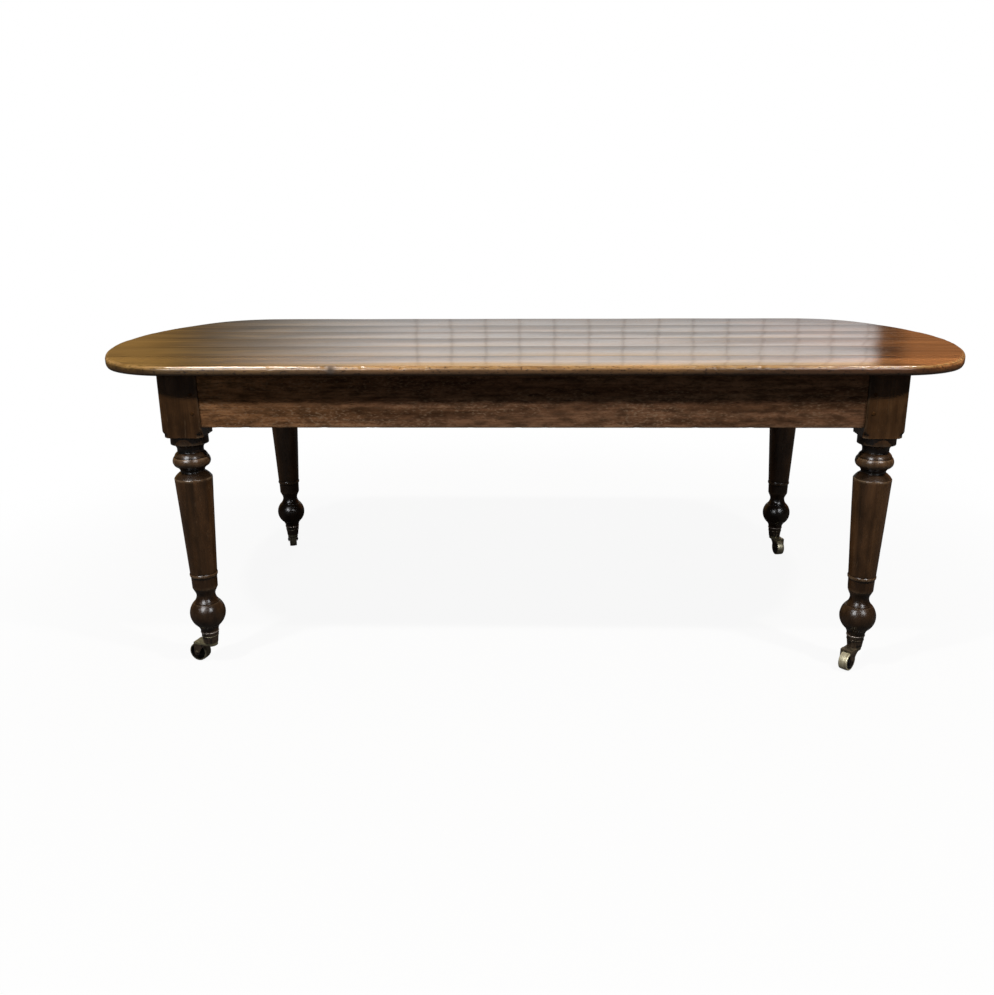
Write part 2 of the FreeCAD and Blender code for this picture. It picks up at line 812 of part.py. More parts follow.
def castor_wheel(name):
    """Turned brass wheel: crowned tread, dished sides and a hub bored for the axle."""
    half = wheel_width / 2
    rim = wheel_diameter / 2 - tread_crown
    edge = half - wheel_edge_radius
    dish_rim = rim - rim_wall
    web = half - dish_depth
    corner = swell_of(90)
    solid = turned([
        (0, half, 0),
        (hub_diameter / 2, half, 0),
        (hub_diameter / 2, web, 0),
        (dish_rim, web, 0),
        (dish_rim, half, 0),
        (rim - wheel_edge_radius, half, corner),
        (rim, edge, tread_crown / edge),
        (rim, -edge, corner),
        (rim - wheel_edge_radius, -half, 0),
        (dish_rim, -half, 0),
        (dish_rim, -web, 0),
        (hub_diameter / 2, -web, 0),
        (hub_diameter / 2, -half, 0),
        (0, -half, 0),
    ])
    through = Vector(0, 0, half + cut_overrun)
    solid = solid.cut(rod(axle_diameter / 2 + running_fit, -through, through))
    return on_castor(turned_to(solid, AWAY, Vector(trail, 0, axle_height)), name)


def pieces():
    """Every node of the table by name: one solid, or a group of like solids."""
    nodes = {}
    for index, board in enumerate(top_boards()):
        nodes[f"top_board_{index + 1}"] = [board]
    nodes["board_dowels"] = dowels(0)
    for name in ("front", "back", "left", "right"):
        nodes[f"{name}_rail"] = [rail(name)]
    nodes["tenon_pegs"] = tenon_pegs(0)
    for side, word in ((-1, "left"), (1, "right")):
        nodes[f"cross_bearer_{word}"] = [cross_bearer(side)]
    nodes["bearer_screws"] = bearer_screws(0)
    nodes["top_buttons"] = top_buttons()
    nodes["button_screws"] = button_screws(0)
    nodes["cup_screws"] = []
    for name in CORNERS:
        nodes[f"leg_{name}"] = [leg(name)]
        nodes[f"castor_cup_{name}"] = [castor_cup(name)]
        nodes[f"swivel_pin_{name}"] = [swivel_pin(name)]
        nodes[f"castor_horn_{name}"] = [castor_horn(name)]
        nodes[f"axle_pin_{name}"] = [axle_pin(name)]
        nodes[f"castor_wheel_{name}"] = [castor_wheel(name)]
        nodes["cup_screws"] += cup_screws(name, 0)
    return nodes


def main():
    os.makedirs("parts", exist_ok=True)
    for name, solids in pieces().items():
        found = [solid for shape in solids for solid in shape.Solids]
        shape = found[0] if len(found) == 1 else Part.makeCompound(found)
        if not shape.isValid():
            raise ValueError(f"{name} is not a valid shape")
        shape.exportStep(f"parts/{name}.step")
        print(name, len(found), round(shape.Volume))


main()
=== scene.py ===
"""Looks of a farmhouse dining table: waxed boards, pegged rails, turned legs and brass castors."""

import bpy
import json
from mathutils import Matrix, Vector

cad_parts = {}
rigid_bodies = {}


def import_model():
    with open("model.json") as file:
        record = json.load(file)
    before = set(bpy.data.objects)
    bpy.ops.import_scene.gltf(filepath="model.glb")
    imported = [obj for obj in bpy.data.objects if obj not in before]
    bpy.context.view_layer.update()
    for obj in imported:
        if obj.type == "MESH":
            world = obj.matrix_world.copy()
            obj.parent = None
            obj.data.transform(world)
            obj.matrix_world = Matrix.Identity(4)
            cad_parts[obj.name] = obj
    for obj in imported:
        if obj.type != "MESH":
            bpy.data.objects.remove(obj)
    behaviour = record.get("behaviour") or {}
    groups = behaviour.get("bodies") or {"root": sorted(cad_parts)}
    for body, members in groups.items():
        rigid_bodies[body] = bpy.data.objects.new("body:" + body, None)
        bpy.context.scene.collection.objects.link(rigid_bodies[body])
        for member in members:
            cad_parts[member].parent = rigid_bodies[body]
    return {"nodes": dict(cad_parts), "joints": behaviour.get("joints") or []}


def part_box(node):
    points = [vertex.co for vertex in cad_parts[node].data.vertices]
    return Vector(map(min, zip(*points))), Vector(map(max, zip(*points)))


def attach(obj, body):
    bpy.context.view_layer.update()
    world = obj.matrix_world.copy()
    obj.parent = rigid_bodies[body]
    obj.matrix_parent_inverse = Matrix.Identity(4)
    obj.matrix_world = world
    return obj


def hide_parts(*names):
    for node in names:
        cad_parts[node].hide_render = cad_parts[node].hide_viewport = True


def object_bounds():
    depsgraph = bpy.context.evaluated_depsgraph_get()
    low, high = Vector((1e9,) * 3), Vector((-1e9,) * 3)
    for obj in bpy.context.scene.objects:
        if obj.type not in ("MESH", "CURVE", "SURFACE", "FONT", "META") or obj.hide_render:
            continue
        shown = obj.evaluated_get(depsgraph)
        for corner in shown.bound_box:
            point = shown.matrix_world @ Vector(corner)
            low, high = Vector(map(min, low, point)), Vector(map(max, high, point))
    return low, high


bl_info = {
    "name": "Farmhouse Table Looks",
    "version": (1, 0, 0),
    "blender": (4, 5, 0),
    "location": "View3D > Sidebar > Table",
    "description": "Dresses a bow-ended farmhouse table in waxed wood and worn brass",
    "category": "Object",
}

import json
import math

import bmesh
import bpy
import numpy as np
from bpy.props import FloatProperty, FloatVectorProperty, PointerProperty
from mathutils import Matrix, Vector

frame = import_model()
CAD_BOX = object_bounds()
HALF_LENGTH, HALF_WIDTH, HEIGHT = CAD_BOX[1]

CORNERS = ("front_left", "front_right", "back_left", "back_right")
LONG_RAILS = ("front_rail", "back_rail")
RAILS = (*LONG_RAILS, "left_rail", "right_rail")
BOARDS = tuple(sorted(name for name in frame["nodes"] if name.startswith("top_board")))
JOINTS = {joint["name"]: joint for joint in frame["joints"]}
QUARTER_TURN = 0.5 * math.pi

# Gap between a rail's shoulders and the leg blocks
SHOULDER_GAP = 0.0003

# Lightness of the boards front to back (the front board's is painted light), painted shade on each wheel's
# tread, dust on each horn
BOARD_TONES_AND_LIGHT = (1.30, 0.92, 1.02, 0.90, 1.00, 0.92)
WHEEL_PAINTED_SHADE = {"front_left": 0.8, "front_right": 0.0, "back_left": 0.3, "back_right": 0.0}
HORN_DUST = {"front_left": 1.0, "front_right": 0.15, "back_left": 1.0, "back_right": 1.0}

# Fineness of the meshes: steps in metres, counts of points, and the slight turn of a straight run
OUTLINE_STEP = 0.00025
RING_STEP = 0.006
RINGS_PER_RADIAN = 6.0
RAIL_STEP = 0.006
RAIL_ARRIS_POINTS = 5
BLOCK_SIDE_POINTS = 27
BLOCK_ARRIS_POINTS = 4
WHEEL_SPOKES = 72
FRONT_BOARD_COLUMNS = 561
BOARD_COLUMNS = 301
BOARD_ROWS = 25
UPPER_LEVELS = 10
LOWER_LEVELS = 8
MERGE_DISTANCE = 1e-6
SHARP_ANGLE = math.radians(50.0)
STRAIGHT_TURN = 1e-6

# Length over which a turning's bend is felt, the radius of a bend that is fully worn or grimy,
# and the reach of the wear that rounds a wheel's section
BEND_REACH = 0.0016
FULL_BEND = 0.006
WHEEL_SOFTENING = 0.0002

# Wavelengths of knocks, planed hollows and sway, and the first seed of each kind of piece.
# The boards' knocks are pairs of wavelength and threshold.
BOARD_KNOCKS = ((0.055, 1.1), (0.021, 1.5))
BOARD_HOLLOW_WAVE = 0.16
RAIL_KNOCK_WAVE = 0.030
RAIL_HOLLOW_WAVE = 0.09
LEG_KNOCK_WAVE = 0.028
LEG_SWAY_WAVE = 0.09
BOARD_SEED = 11
RAIL_SEED = 20
LEG_SEED = 40

# Marks on the boards: how far they reach and how strong they are, the angles round the upper arris
# where wear ends and over which it fades, and the step between the boards' slices of noise
RUB_REACH = 0.012
EDGE_REACH = 0.010
JOINT_REACH = 0.0018
JOINT_GRIME = 0.65
BURN_STRENGTH = 0.8
# Painted shade down the face of the outer edge: its share just below the upper arris, and the most it
# reaches
SHADE_START = 0.35
SHADE_LIMIT = 0.85
WEAR_END = 1.45
WEAR_FADE = 0.6
LOWER_WEAR = 0.15
BOARD_SLICE = 3.7

# Marks on the legs: wear on a block's arrises, least share of a knock, mean sway, and the heights
# between which the finish of the turnings gives way to that of the block
BLOCK_WEAR = 0.25
LEAST_KNOCK = 0.25
LEG_SWAY = 0.2
BLOCK_FOOT = (0.58, 0.60)

# Turned outline of a leg, top to bottom: height, radius, swell of the run below.
# Swell is the run's sagitta over half its chord, outwards if positive.
LEG_OUTLINE = (
    (0.7360, 0.0700, 0.0),       # square block, whose corners are turned off below
    (0.6095, 0.0700, 0.0),
    (0.5960, 0.0565, 0.0),
    (0.5880, 0.0565, 0.0),
    (0.5880, 0.0435, 0.0),       # ring under the block
    (0.5680, 0.0435, -0.35),
    (0.5560, 0.0303, 0.0),       # upper neck
    (0.5480, 0.0303, 0.22),
    (0.5350, 0.0390, 0.0),       # domed cap on the large bead
    (0.5350, 0.0405, 0.140),
    (0.5245, 0.0435, 0.261),
    (0.5120, 0.0365, -0.22),
    (0.5020, 0.0281, 0.0),       # lower neck
    (0.4990, 0.0281, 0.12),
    (0.4850, 0.0430, 0.0),       # shoulder and long taper
    (0.4835, 0.0440, 0.0),
    (0.2415, 0.0322, 0.35),      # fillet bead
    (0.2370, 0.0333, 0.35),
    (0.2325, 0.0310, 0.0),       # collar
    (0.2025, 0.0302, 0.0),
    (0.1905, 0.0245, -0.12),
    (0.1815, 0.0227, -0.16),     # ankle
    (0.1652, 0.0295, 0.0),
    (0.1635, 0.0295, 0.0),
    (0.1635, 0.03147, 0.4096),   # ball
    (0.1025, 0.0295, -0.18),
    (0.0875, 0.0217, 0.0),       # foot on the castor cup
    (0.0845, 0.0217, 0.0),
    (0.0845, 0.0188, 0.0),       # stub inside the cup
    (0.0577, 0.0157, 0.0),
)

# Dirt held in the polish down a leg: height, share of the dark colour
LEG_DIRT = (
    (0.5900, 0.0), (0.5880, 0.35), (0.5680, 0.75), (0.5352, 0.60),
    (0.5345, 0.0), (0.5180, 0.05), (0.5110, 0.90), (0.4990, 0.90), (0.4852, 0.80),
    (0.4840, 0.0), (0.2330, 0.0), (0.2320, 0.35), (0.2025, 0.35), (0.1815, 0.75),
    (0.1025, 0.65), (0.0577, 0.65),
)

# The mirrored window: the x of a direction, or its slope x / y, where a part fades from none to full.
# A bar's edge is measured in panes from its middle, and its shade is the light left in it.
WINDOW_LEFT = (-0.38, -0.10)
WINDOW_RIGHT = (0.338, 0.323)
SURROUND_LEFT = (-0.325, -0.405)
SURROUND_RIGHT = (0.345, 0.365)
UNBARRED_SLOPE = (-0.13, -0.15)
BAR_EDGE = (0.02, 0.07)
BAR_SHADE = 0.66

# Place that the lamps face, their colours, half the width of the floor, the distances over which it
# fades to white, and its whiteness before that
LAMP_TARGET = (0.0, -0.3, 0.6)
WHITE = (1.0, 1.0, 1.0)
WARM_WHITE = (1.0, 0.97, 0.92)
SOFT_WHITE = (1.0, 0.98, 0.95)
COOL_WHITE = (0.92, 0.96, 1.0)
FLOOR_HALF = 8.0
FLOOR_FADE = (1.0, 2.4)
FLOOR_WHITENESS = 0.92


class TopSettings(bpy.types.PropertyGroup):
    """Sizes and colours of the top boards"""
    bow_radius: FloatProperty(name="Bow radius", description="Plan radius of each bowed end",
                              default=0.770, unit="LENGTH")
    corner_radius: FloatProperty(name="Corner radius", description="Plan rounding into the long edges",
                                 default=0.205, unit="LENGTH")
    upper_arris: FloatProperty(name="Upper arris", description="Rounding of the upper edge",
                               default=0.009, unit="LENGTH")
    lower_arris: FloatProperty(name="Lower arris", description="Rounding of the lower edge",
                               default=0.007, unit="LENGTH")
    joint_bevel: FloatProperty(name="Joint bevel", description="Eased arris along a board joint",
                               default=0.0008, unit="LENGTH")
    board_fall: FloatProperty(name="Board fall", description="Depth of a board's edges below its middle",
                              default=0.0006, unit="LENGTH")
    front_fall: FloatProperty(name="Front fall", description="Fall to the front edge over that to a joint",
                              default=2.0, subtype="FACTOR")
    back_fall: FloatProperty(name="Back fall", description="Fall to the back edge over that to a joint",
                             default=0.3, subtype="FACTOR")
    unevenness: FloatProperty(name="Unevenness", description="Depth of the hollows left by hand planing",
                              default=0.0008, unit="LENGTH")
    dent_depth: FloatProperty(name="Dent depth", description="Depth of the knocks along the outer edge",
                              default=0.0016, unit="LENGTH")
    scar_place: FloatVectorProperty(name="Scar", description="Place of the burn on the front edge",
                                    default=(-0.445, -0.484, 0.753), size=3, subtype="TRANSLATION")
    scar_size: FloatProperty(name="Scar size", description="Reach of the burn on the front edge",
                             default=0.014, unit="LENGTH")
    dark: FloatVectorProperty(name="Dark grain", description="Colour of the dark figure",
                              default=(0.200, 0.092, 0.030), size=3, subtype="COLOR")
    streak: FloatVectorProperty(name="Streaks", description="Colour of the short dark streaks",
                                default=(0.085, 0.042, 0.012), size=3, subtype="COLOR")
    mid: FloatVectorProperty(name="Middle grain", description="Main colour of the boards",
                             default=(0.370, 0.180, 0.060), size=3, subtype="COLOR")
    light: FloatVectorProperty(name="Light grain", description="Colour of the light figure",
                               default=(0.510, 0.268, 0.101), size=3, subtype="COLOR")
    worn: FloatVectorProperty(name="Rubbed edge", description="Colour of the edge where it is rubbed bare",
                              default=(0.520, 0.300, 0.112), size=3, subtype="COLOR")
    # Painted shade: below its upper arris the outer edge is darkened towards this colour, more towards its
    # foot
    shade: FloatVectorProperty(name="Lower edge", description="Colour of the shadowed lower half of the edge",
                               default=(0.060, 0.034, 0.020), size=3, subtype="COLOR")
    dirt: FloatVectorProperty(name="Dirt", description="Colour of the joints, the specks and the burn",
                              default=(0.020, 0.010, 0.005), size=3, subtype="COLOR")
    # Painted reflection: the left end is tinted olive and the right end redder, for the different
    # surroundings that the two ends mirror
    left_tint: FloatVectorProperty(name="Left tint", description="Tint of the wood at the left end",
                                   default=(0.96, 1.07, 0.81), size=3, subtype="COLOR")
    right_tint: FloatVectorProperty(name="Right tint", description="Tint of the wood at the right end",
                                    default=(1.26, 0.96, 0.84), size=3, subtype="COLOR")


class RailSettings(bpy.types.PropertyGroup):
    """Sizes and colours of the rails"""
    arris: FloatProperty(name="Arris", description="Rounding of a rail's long edges",
                         default=0.002, unit="LENGTH")
    unevenness: FloatProperty(name="Unevenness", description="Depth of the hollows left by hand planing",
                              default=0.0005, unit="LENGTH")
    dark: FloatVectorProperty(name="Dark grain", description="Colour of the dark figure",
                              default=(0.108, 0.051, 0.025), size=3, subtype="COLOR")
    mid: FloatVectorProperty(name="Middle grain", description="Main colour of the rails",
                             default=(0.220, 0.110, 0.060), size=3, subtype="COLOR")
    light: FloatVectorProperty(name="Light grain", description="Colour of the light figure",
                               default=(0.325, 0.180, 0.102), size=3, subtype="COLOR")
    worn: FloatVectorProperty(name="Scuffs", description="Colour of scuffed spots and edges",
                              default=(0.430, 0.285, 0.180), size=3, subtype="COLOR")
    # The rails are painted lighter and less blue towards the left end
    left_tint: FloatVectorProperty(name="Left tint", description="Tint of the faded wood at the left end",
                                   default=(1.70, 1.65, 1.35), size=3, subtype="COLOR")


class LegSettings(bpy.types.PropertyGroup):
    """Sizes and colours of the legs"""
    arris: FloatProperty(name="Arris", description="Rounding of the block's upright edges",
                         default=0.002, unit="LENGTH")
    softening: FloatProperty(name="Softening", description="Reach of the wear that rounds the turnings",
                             default=0.00045, unit="LENGTH")
    dent_depth: FloatProperty(name="Dent depth", description="Depth of the knocks on a leg",
                              default=0.0007, unit="LENGTH")
    dark: FloatVectorProperty(name="Dark grain", description="Colour of the dark figure",
                              default=(0.052, 0.024, 0.008), size=3, subtype="COLOR")
    mid: FloatVectorProperty(name="Middle grain", description="Main colour of the legs",
                             default=(0.104, 0.047, 0.017), size=3, subtype="COLOR")
    light: FloatVectorProperty(name="Light grain", description="Colour of the light figure",
                               default=(0.160, 0.077, 0.030), size=3, subtype="COLOR")
    worn: FloatVectorProperty(name="Rubbed edge", description="Colour of the rubbed turnings",
                              default=(0.300, 0.200, 0.120), size=3, subtype="COLOR")
    grime: FloatVectorProperty(name="Grime", description="Colour of the dirt in the necks",
                               default=(0.006, 0.004, 0.003), size=3, subtype="COLOR")


class CastorSettings(bpy.types.PropertyGroup):
    """Sizes and colours of the castors"""
    wheel_width: FloatProperty(name="Wheel width", description="Width of a wheel along its axle",
                               default=0.022, unit="LENGTH")
    tread_crown: FloatProperty(name="Tread crown", description="Rise of the tread to its middle",
                               default=0.0005, unit="LENGTH")
    edge_radius: FloatProperty(name="Edge radius", description="Rounding of the tread's edges",
                               default=0.0016, unit="LENGTH")
    rim_wall: FloatProperty(name="Rim wall", description="Thickness of the rim round the dished side",
                            default=0.0036, unit="LENGTH")
    dish_depth: FloatProperty(name="Dish depth", description="Depth of the dished side",
                              default=0.0065, unit="LENGTH")
    hub_radius: FloatProperty(name="Hub radius", description="Radius of the hub in the dished side",
                              default=0.0085, unit="LENGTH")
    bore_radius: FloatProperty(name="Bore radius", description="Radius of the hole for the axle",
                               default=0.00356, unit="LENGTH")
    fender_height: FloatProperty(name="Fender height", description="Height of the horns' dusty upper part",
                                 default=0.0475, unit="LENGTH")
    fender_depth: FloatProperty(name="Fender depth", description="Depth of the horns' dusty upper part",
                                default=0.005, unit="LENGTH")
    rim_height: FloatProperty(name="Rim height", description="Height of a cup's rim",
                              default=0.003, unit="LENGTH")
    brass: FloatVectorProperty(name="Brass", description="Colour of the rubbed brass treads",
                               default=(0.880, 0.800, 0.560), size=3, subtype="COLOR")
    tarnish: FloatVectorProperty(name="Tarnish", description="Colour of the dirt on the treads",
                                 default=(0.300, 0.230, 0.120), size=3, subtype="COLOR")
    bronze: FloatVectorProperty(name="Dark brass", description="Colour of the darkened cups and horns",
                                default=(0.120, 0.082, 0.056), size=3, subtype="COLOR")
    rubbed: FloatVectorProperty(name="Rubbed rim", description="Colour of the cups' rims, rubbed bright",
                                default=(0.480, 0.400, 0.340), size=3, subtype="COLOR")
    dusty: FloatVectorProperty(name="Dusty brass", description="Colour of the horns where they face up",
                               default=(0.360, 0.330, 0.200), size=3, subtype="COLOR")
    # Painted shade in the wheels' dished sides and on the treads of wheels that stand in shade; on the cups
    # and horns, the colour of real dirt
    soot_and_shade: FloatVectorProperty(name="Soot", description="Colour of the dirt in the dished sides",
                              default=(0.020, 0.016, 0.012), size=3, subtype="COLOR")


class UndersideSettings(bpy.types.PropertyGroup):
    """Colours of the wood and the screws under the top"""
    dark: FloatVectorProperty(name="Dark grain", description="Colour of the dark figure",
                              default=(0.095, 0.058, 0.030), size=3, subtype="COLOR")
    mid: FloatVectorProperty(name="Middle grain", description="Main colour of the bare wood",
                             default=(0.190, 0.120, 0.066), size=3, subtype="COLOR")
    light: FloatVectorProperty(name="Light grain", description="Colour of the light figure",
                               default=(0.290, 0.190, 0.110), size=3, subtype="COLOR")
    iron: FloatVectorProperty(name="Iron", description="Colour of the screws",
                              default=(0.110, 0.100, 0.095), size=3, subtype="COLOR")
    rust: FloatVectorProperty(name="Rust", description="Colour of the rust on the screws",
                              default=(0.050, 0.030, 0.020), size=3, subtype="COLOR")


class StageSettings(bpy.types.PropertyGroup):
    """Camera, lamps, floor and what the polish mirrors"""
    camera_place: FloatVectorProperty(name="Camera", description="Place of the camera",
                                      default=(0.0176, -2.5676, 1.0862), size=3, subtype="TRANSLATION")
    yaw: FloatProperty(name="Yaw", description="Turn of the camera to the right of the far side",
                       default=-0.0251, subtype="ANGLE")
    pitch: FloatProperty(name="Pitch", description="Tilt of the camera below level",
                         default=0.2920, subtype="ANGLE")
    roll: FloatProperty(name="Roll", description="Turn of the camera about its own axis",
                        default=0.0049, subtype="ANGLE")
    lens: FloatProperty(name="Lens", description="Focal length of the camera",
                        default=34.133, unit="CAMERA")
    shift_x: FloatProperty(name="Shift right", description="Sideways shift of the picture in the camera",
                           default=-0.0179, subtype="FACTOR")
    shift_y: FloatProperty(name="Shift up", description="Upward shift of the picture in the camera",
                           default=-0.0021, subtype="FACTOR")
    key_power: FloatProperty(name="Key lights", description="Power of each high front lamp",
                             default=85.0, unit="POWER")
    strip_power: FloatProperty(name="Strip light", description="Power of the long soft lamp between them",
                               default=25.0, unit="POWER")
    back_power: FloatProperty(name="Back light", description="Power of the soft lamp behind the table",
                              default=25.0, unit="POWER")
    end_power: FloatProperty(name="End lights", description="Power of each soft lamp beyond an end",
                             default=7.0, unit="POWER")
    softbox_power: FloatProperty(name="Softboxes", description="Power of each softbox that turnings mirror",
                                 default=85.0, unit="POWER")
    arris_power: FloatProperty(name="Arris lights", description="Power of each lamp over the front edge",
                               default=85.0, unit="POWER")
    fill: FloatProperty(name="Fill light", description="Brightness of the light from all round",
                        default=0.055, subtype="FACTOR", min=0.0, max=1.0)
    dim: FloatProperty(name="Dim surround", description="Brightness of the rest that polish mirrors",
                       default=0.012, subtype="FACTOR", min=0.0, max=1.0)
    beside_left: FloatVectorProperty(name="Left of the window", description="Colour mirrored from there",
                                     default=(0.245, 0.136, 0.045), size=3, subtype="COLOR")
    beside_right: FloatVectorProperty(name="Right of the window", description="Colour mirrored from there",
                                      default=(0.260, 0.108, 0.044), size=3, subtype="COLOR")
    window: FloatVectorProperty(name="Window", description="Colour of the daylight that the wax mirrors",
                                default=(0.90, 0.96, 1.00), size=3, subtype="COLOR")
    sill: FloatVectorProperty(name="Window sill", description="Colour of the duller light low in it",
                              default=(0.38, 0.40, 0.41), size=3, subtype="COLOR")
    lamplight: FloatVectorProperty(name="Lamplight", description="Colour of the warm light above it",
                                   default=(1.00, 0.74, 0.44), size=3, subtype="COLOR")
    first_bar: FloatProperty(name="First bar", description="Slope to the side of one upright window bar",
                             default=-0.1277, subtype="FACTOR")
    pane: FloatProperty(name="Pane", description="Step of that slope from bar to bar",
                        default=0.0363, subtype="FACTOR")
    floor: FloatVectorProperty(name="Floor", description="Colour of the floor",
                               default=(0.86, 0.86, 0.86), size=3, subtype="COLOR")
    bounce: FloatVectorProperty(name="Floor bounce", description="Colour that the floor throws back",
                                default=(0.09, 0.09, 0.09), size=3, subtype="COLOR")


def ripple(points, wavelength, seed):
    """Smooth uneven field about zero: the scaled sum of sixteen plane waves in seeded directions.

    Their lengths lie between 0.6 and 1.6 of the wavelength given.
    """
    draw = np.random.default_rng(seed)
    count = 16
    heading = draw.normal(size=(count, 3))
    heading /= np.linalg.norm(heading, axis=1, keepdims=True)
    lengths = wavelength * draw.uniform(0.6, 1.6, (count, 1))
    phase = draw.uniform(0.0, 2.0 * math.pi, count)
    waves = np.sin(points @ (heading * 2.0 * math.pi / lengths).T + phase)
    return waves.sum(axis=-1) / math.sqrt(count / 2.0)


def knocked(points, wavelength, seed, threshold, limit=None):
    """Scattered knocks: what a ripple rises above a threshold, up to a limit, and zero elsewhere."""
    return np.clip(ripple(points, wavelength, seed) - threshold, 0.0, limit)


def grid_quads(rows, columns, around=False):
    """Four corners of every cell of a grid; around joins the last column to the first."""
    row, column = np.meshgrid(np.arange(rows - 1), np.arange(columns if around else columns - 1),
                              indexing="ij")
    beside = (column + 1) % columns
    corners = (row * columns + column, (row + 1) * columns + column,
               (row + 1) * columns + beside, row * columns + beside)
    return np.stack(corners, axis=-1).reshape(-1, 4)


def new_piece(name, points, faces, finish, body, node, marks):
    """Mesh object from whole arrays, smooth but for its sharp edges, standing for a node of the frame."""
    mesh = bpy.data.meshes.new(name)
    mesh.from_pydata(points.reshape(-1, 3).tolist(), [], faces)
    for mark, values in marks.items():
        mesh.attributes.new(mark, "FLOAT", "POINT").data.foreach_set("value", values.ravel())
    merged = bmesh.new()
    merged.from_mesh(mesh)
    bmesh.ops.remove_doubles(merged, verts=merged.verts, dist=MERGE_DISTANCE)
    merged.to_mesh(mesh)
    merged.free()
    mesh.materials.append(finish)
    mesh.shade_smooth()
    mesh.set_sharp_from_angle(angle=SHARP_ANGLE)
    piece = bpy.data.objects.new(name, mesh)
    bpy.context.scene.collection.objects.link(piece)
    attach(piece, body)
    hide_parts(node)


def capped(rings):
    """Skin a stack of rings and close it with a pole, the mean of the ring, at each end."""
    count, columns = rings.shape[:2]
    poles = np.stack((rings[0].mean(axis=0), rings[-1].mean(axis=0)))
    points = np.concatenate((rings.reshape(-1, 3), poles))
    here = np.arange(columns)
    after = (here + 1) % columns
    last = (count - 1) * columns
    first_pole = np.full(columns, count * columns)
    top = np.stack((first_pole, here, after), axis=-1)
    bottom = np.stack((first_pole + 1, last + after, last + here), axis=-1)
    sides = grid_quads(count, columns, around=True)
    return points, sides.tolist() + top.tolist() + bottom.tolist()


def with_poles(values):
    """Marks of a stack of rings as one line, followed by a zero for each pole."""
    return np.append(values.ravel(), (0.0, 0.0))


def turned_curve(outline, spacing):
    """Points down a turned outline at an even spacing, as radius + height j.

    An arc from A to B that turns by t in all is A + (B - A) sin(ts/2) / sin(t/2) e^(jt(1-s)/2),
    for s from 0 to 1, and tends to the straight run as t goes to zero.
    """
    parts = []
    for (height, radius, swell), (next_height, next_radius, _) in zip(outline, outline[1:]):
        start = complex(radius, height)
        chord = complex(next_radius, next_height) - start
        turn = 4.0 * math.atan(swell) or STRAIGHT_TURN
        share = np.linspace(0.0, 1.0, max(3, int(abs(chord) / spacing)))[:-1]
        reach = np.sin(turn * share / 2.0) / math.sin(turn / 2.0)
        parts.append(start + chord * reach * np.exp(0.5j * turn * (1.0 - share)))
    parts.append(np.array([complex(outline[-1][1], outline[-1][0])]))
    rough = np.concatenate(parts)
    travel = np.concatenate(([0.0], np.cumsum(np.abs(np.diff(rough)))))
    even = np.arange(0.0, travel[-1], spacing)
    return np.interp(even, travel, rough.real) + 1j * np.interp(even, travel, rough.imag)


def softened(values, width):
    """Running mean of a line of values with a bell-shaped weight; the ends are held."""
    reach = int(4 * width) + 1
    weight = np.exp(-0.5 * (np.arange(-reach, reach + 1) / width) ** 2)
    padded = np.pad(values, reach, mode="edge")
    return np.convolve(padded, weight / weight.sum(), mode="valid")


def turned_stations(outline, softening):
    """Rings of a turned piece: radius, height, wear and grime at stations set by the curve.

    The outline is softened as wear would, then sampled once every few millimetres and more often
    where it bends. Wear follows its outward bend and grime its inward bend.
    """
    curve = softened(turned_curve(outline, OUTLINE_STEP), softening / OUTLINE_STEP)
    heading = np.unwrap(np.angle(np.gradient(curve)))
    bend = np.gradient(heading) / OUTLINE_STEP
    wide = softened(bend, BEND_REACH / OUTLINE_STEP)
    need = np.cumsum(OUTLINE_STEP / RING_STEP + np.abs(bend) * OUTLINE_STEP * RINGS_PER_RADIAN)
    picks = np.interp(np.arange(0.0, need[-1], 1.0), need, np.arange(len(curve)))
    index = np.unique(np.concatenate(([0], np.round(picks).astype(int), [len(curve) - 1])))
    wear = np.clip(-wide * FULL_BEND, 0.0, 1.0)
    grime = np.clip(wide * FULL_BEND, 0.0, 1.0)
    return curve.real[index], curve.imag[index], wear[index], grime[index]


def rounded_square(half, radius):
    """Loop of points x + yj round a square with rounded corners, anticlockwise from its right side.

    A quarter is one side and the arc after it; the loop is that quarter times 1, j, -1 and -j.
    """
    side = np.linspace(-1.0, 1.0, BLOCK_SIDE_POINTS) * (half - radius)
    bend = np.linspace(0.0, QUARTER_TURN, BLOCK_ARRIS_POINTS + 2)[1:-1]
    straight = half + 1j * side
    corner = (half - radius) * (1.0 + 1.0j) + radius * np.exp(1j * bend)
    quarter = np.concatenate((straight, corner))
    return np.concatenate([quarter * 1j ** turn for turn in range(4)])


def feed(tree, node, inputs):
    """Give inputs of a node their values, or a link where one is given another node's socket."""
    for key, value in inputs.items():
        if isinstance(value, bpy.types.NodeSocket):
            tree.links.new(value, node.inputs[key])
        else:
            node.inputs[key].default_value = value


def add_node(tree, kind, inputs=None, **settings):
    """New node with its settings and inputs."""
    node = tree.nodes.new(kind)
    for key, value in settings.items():
        setattr(node, key, value)
    feed(tree, node, inputs or {})
    return node


def noise(tree, vector, cell, detail=3.0, shift=None, distortion=0.0):
    """Noise whose cells measure cell metres along each axis, in a slice chosen by shift."""
    scale = [1.0 / size for size in cell]
    mapping = add_node(tree, "ShaderNodeMapping", {"Vector": vector, "Scale": scale})
    inputs = {"Vector": mapping.outputs[0], "Scale": 1.0, "Detail": detail, "Roughness": 0.55,
              "Distortion": distortion}
    if shift is None:
        return add_node(tree, "ShaderNodeTexNoise", inputs).outputs[0]
    inputs["W"] = shift
    return add_node(tree, "ShaderNodeTexNoise", inputs, noise_dimensions="4D").outputs[0]


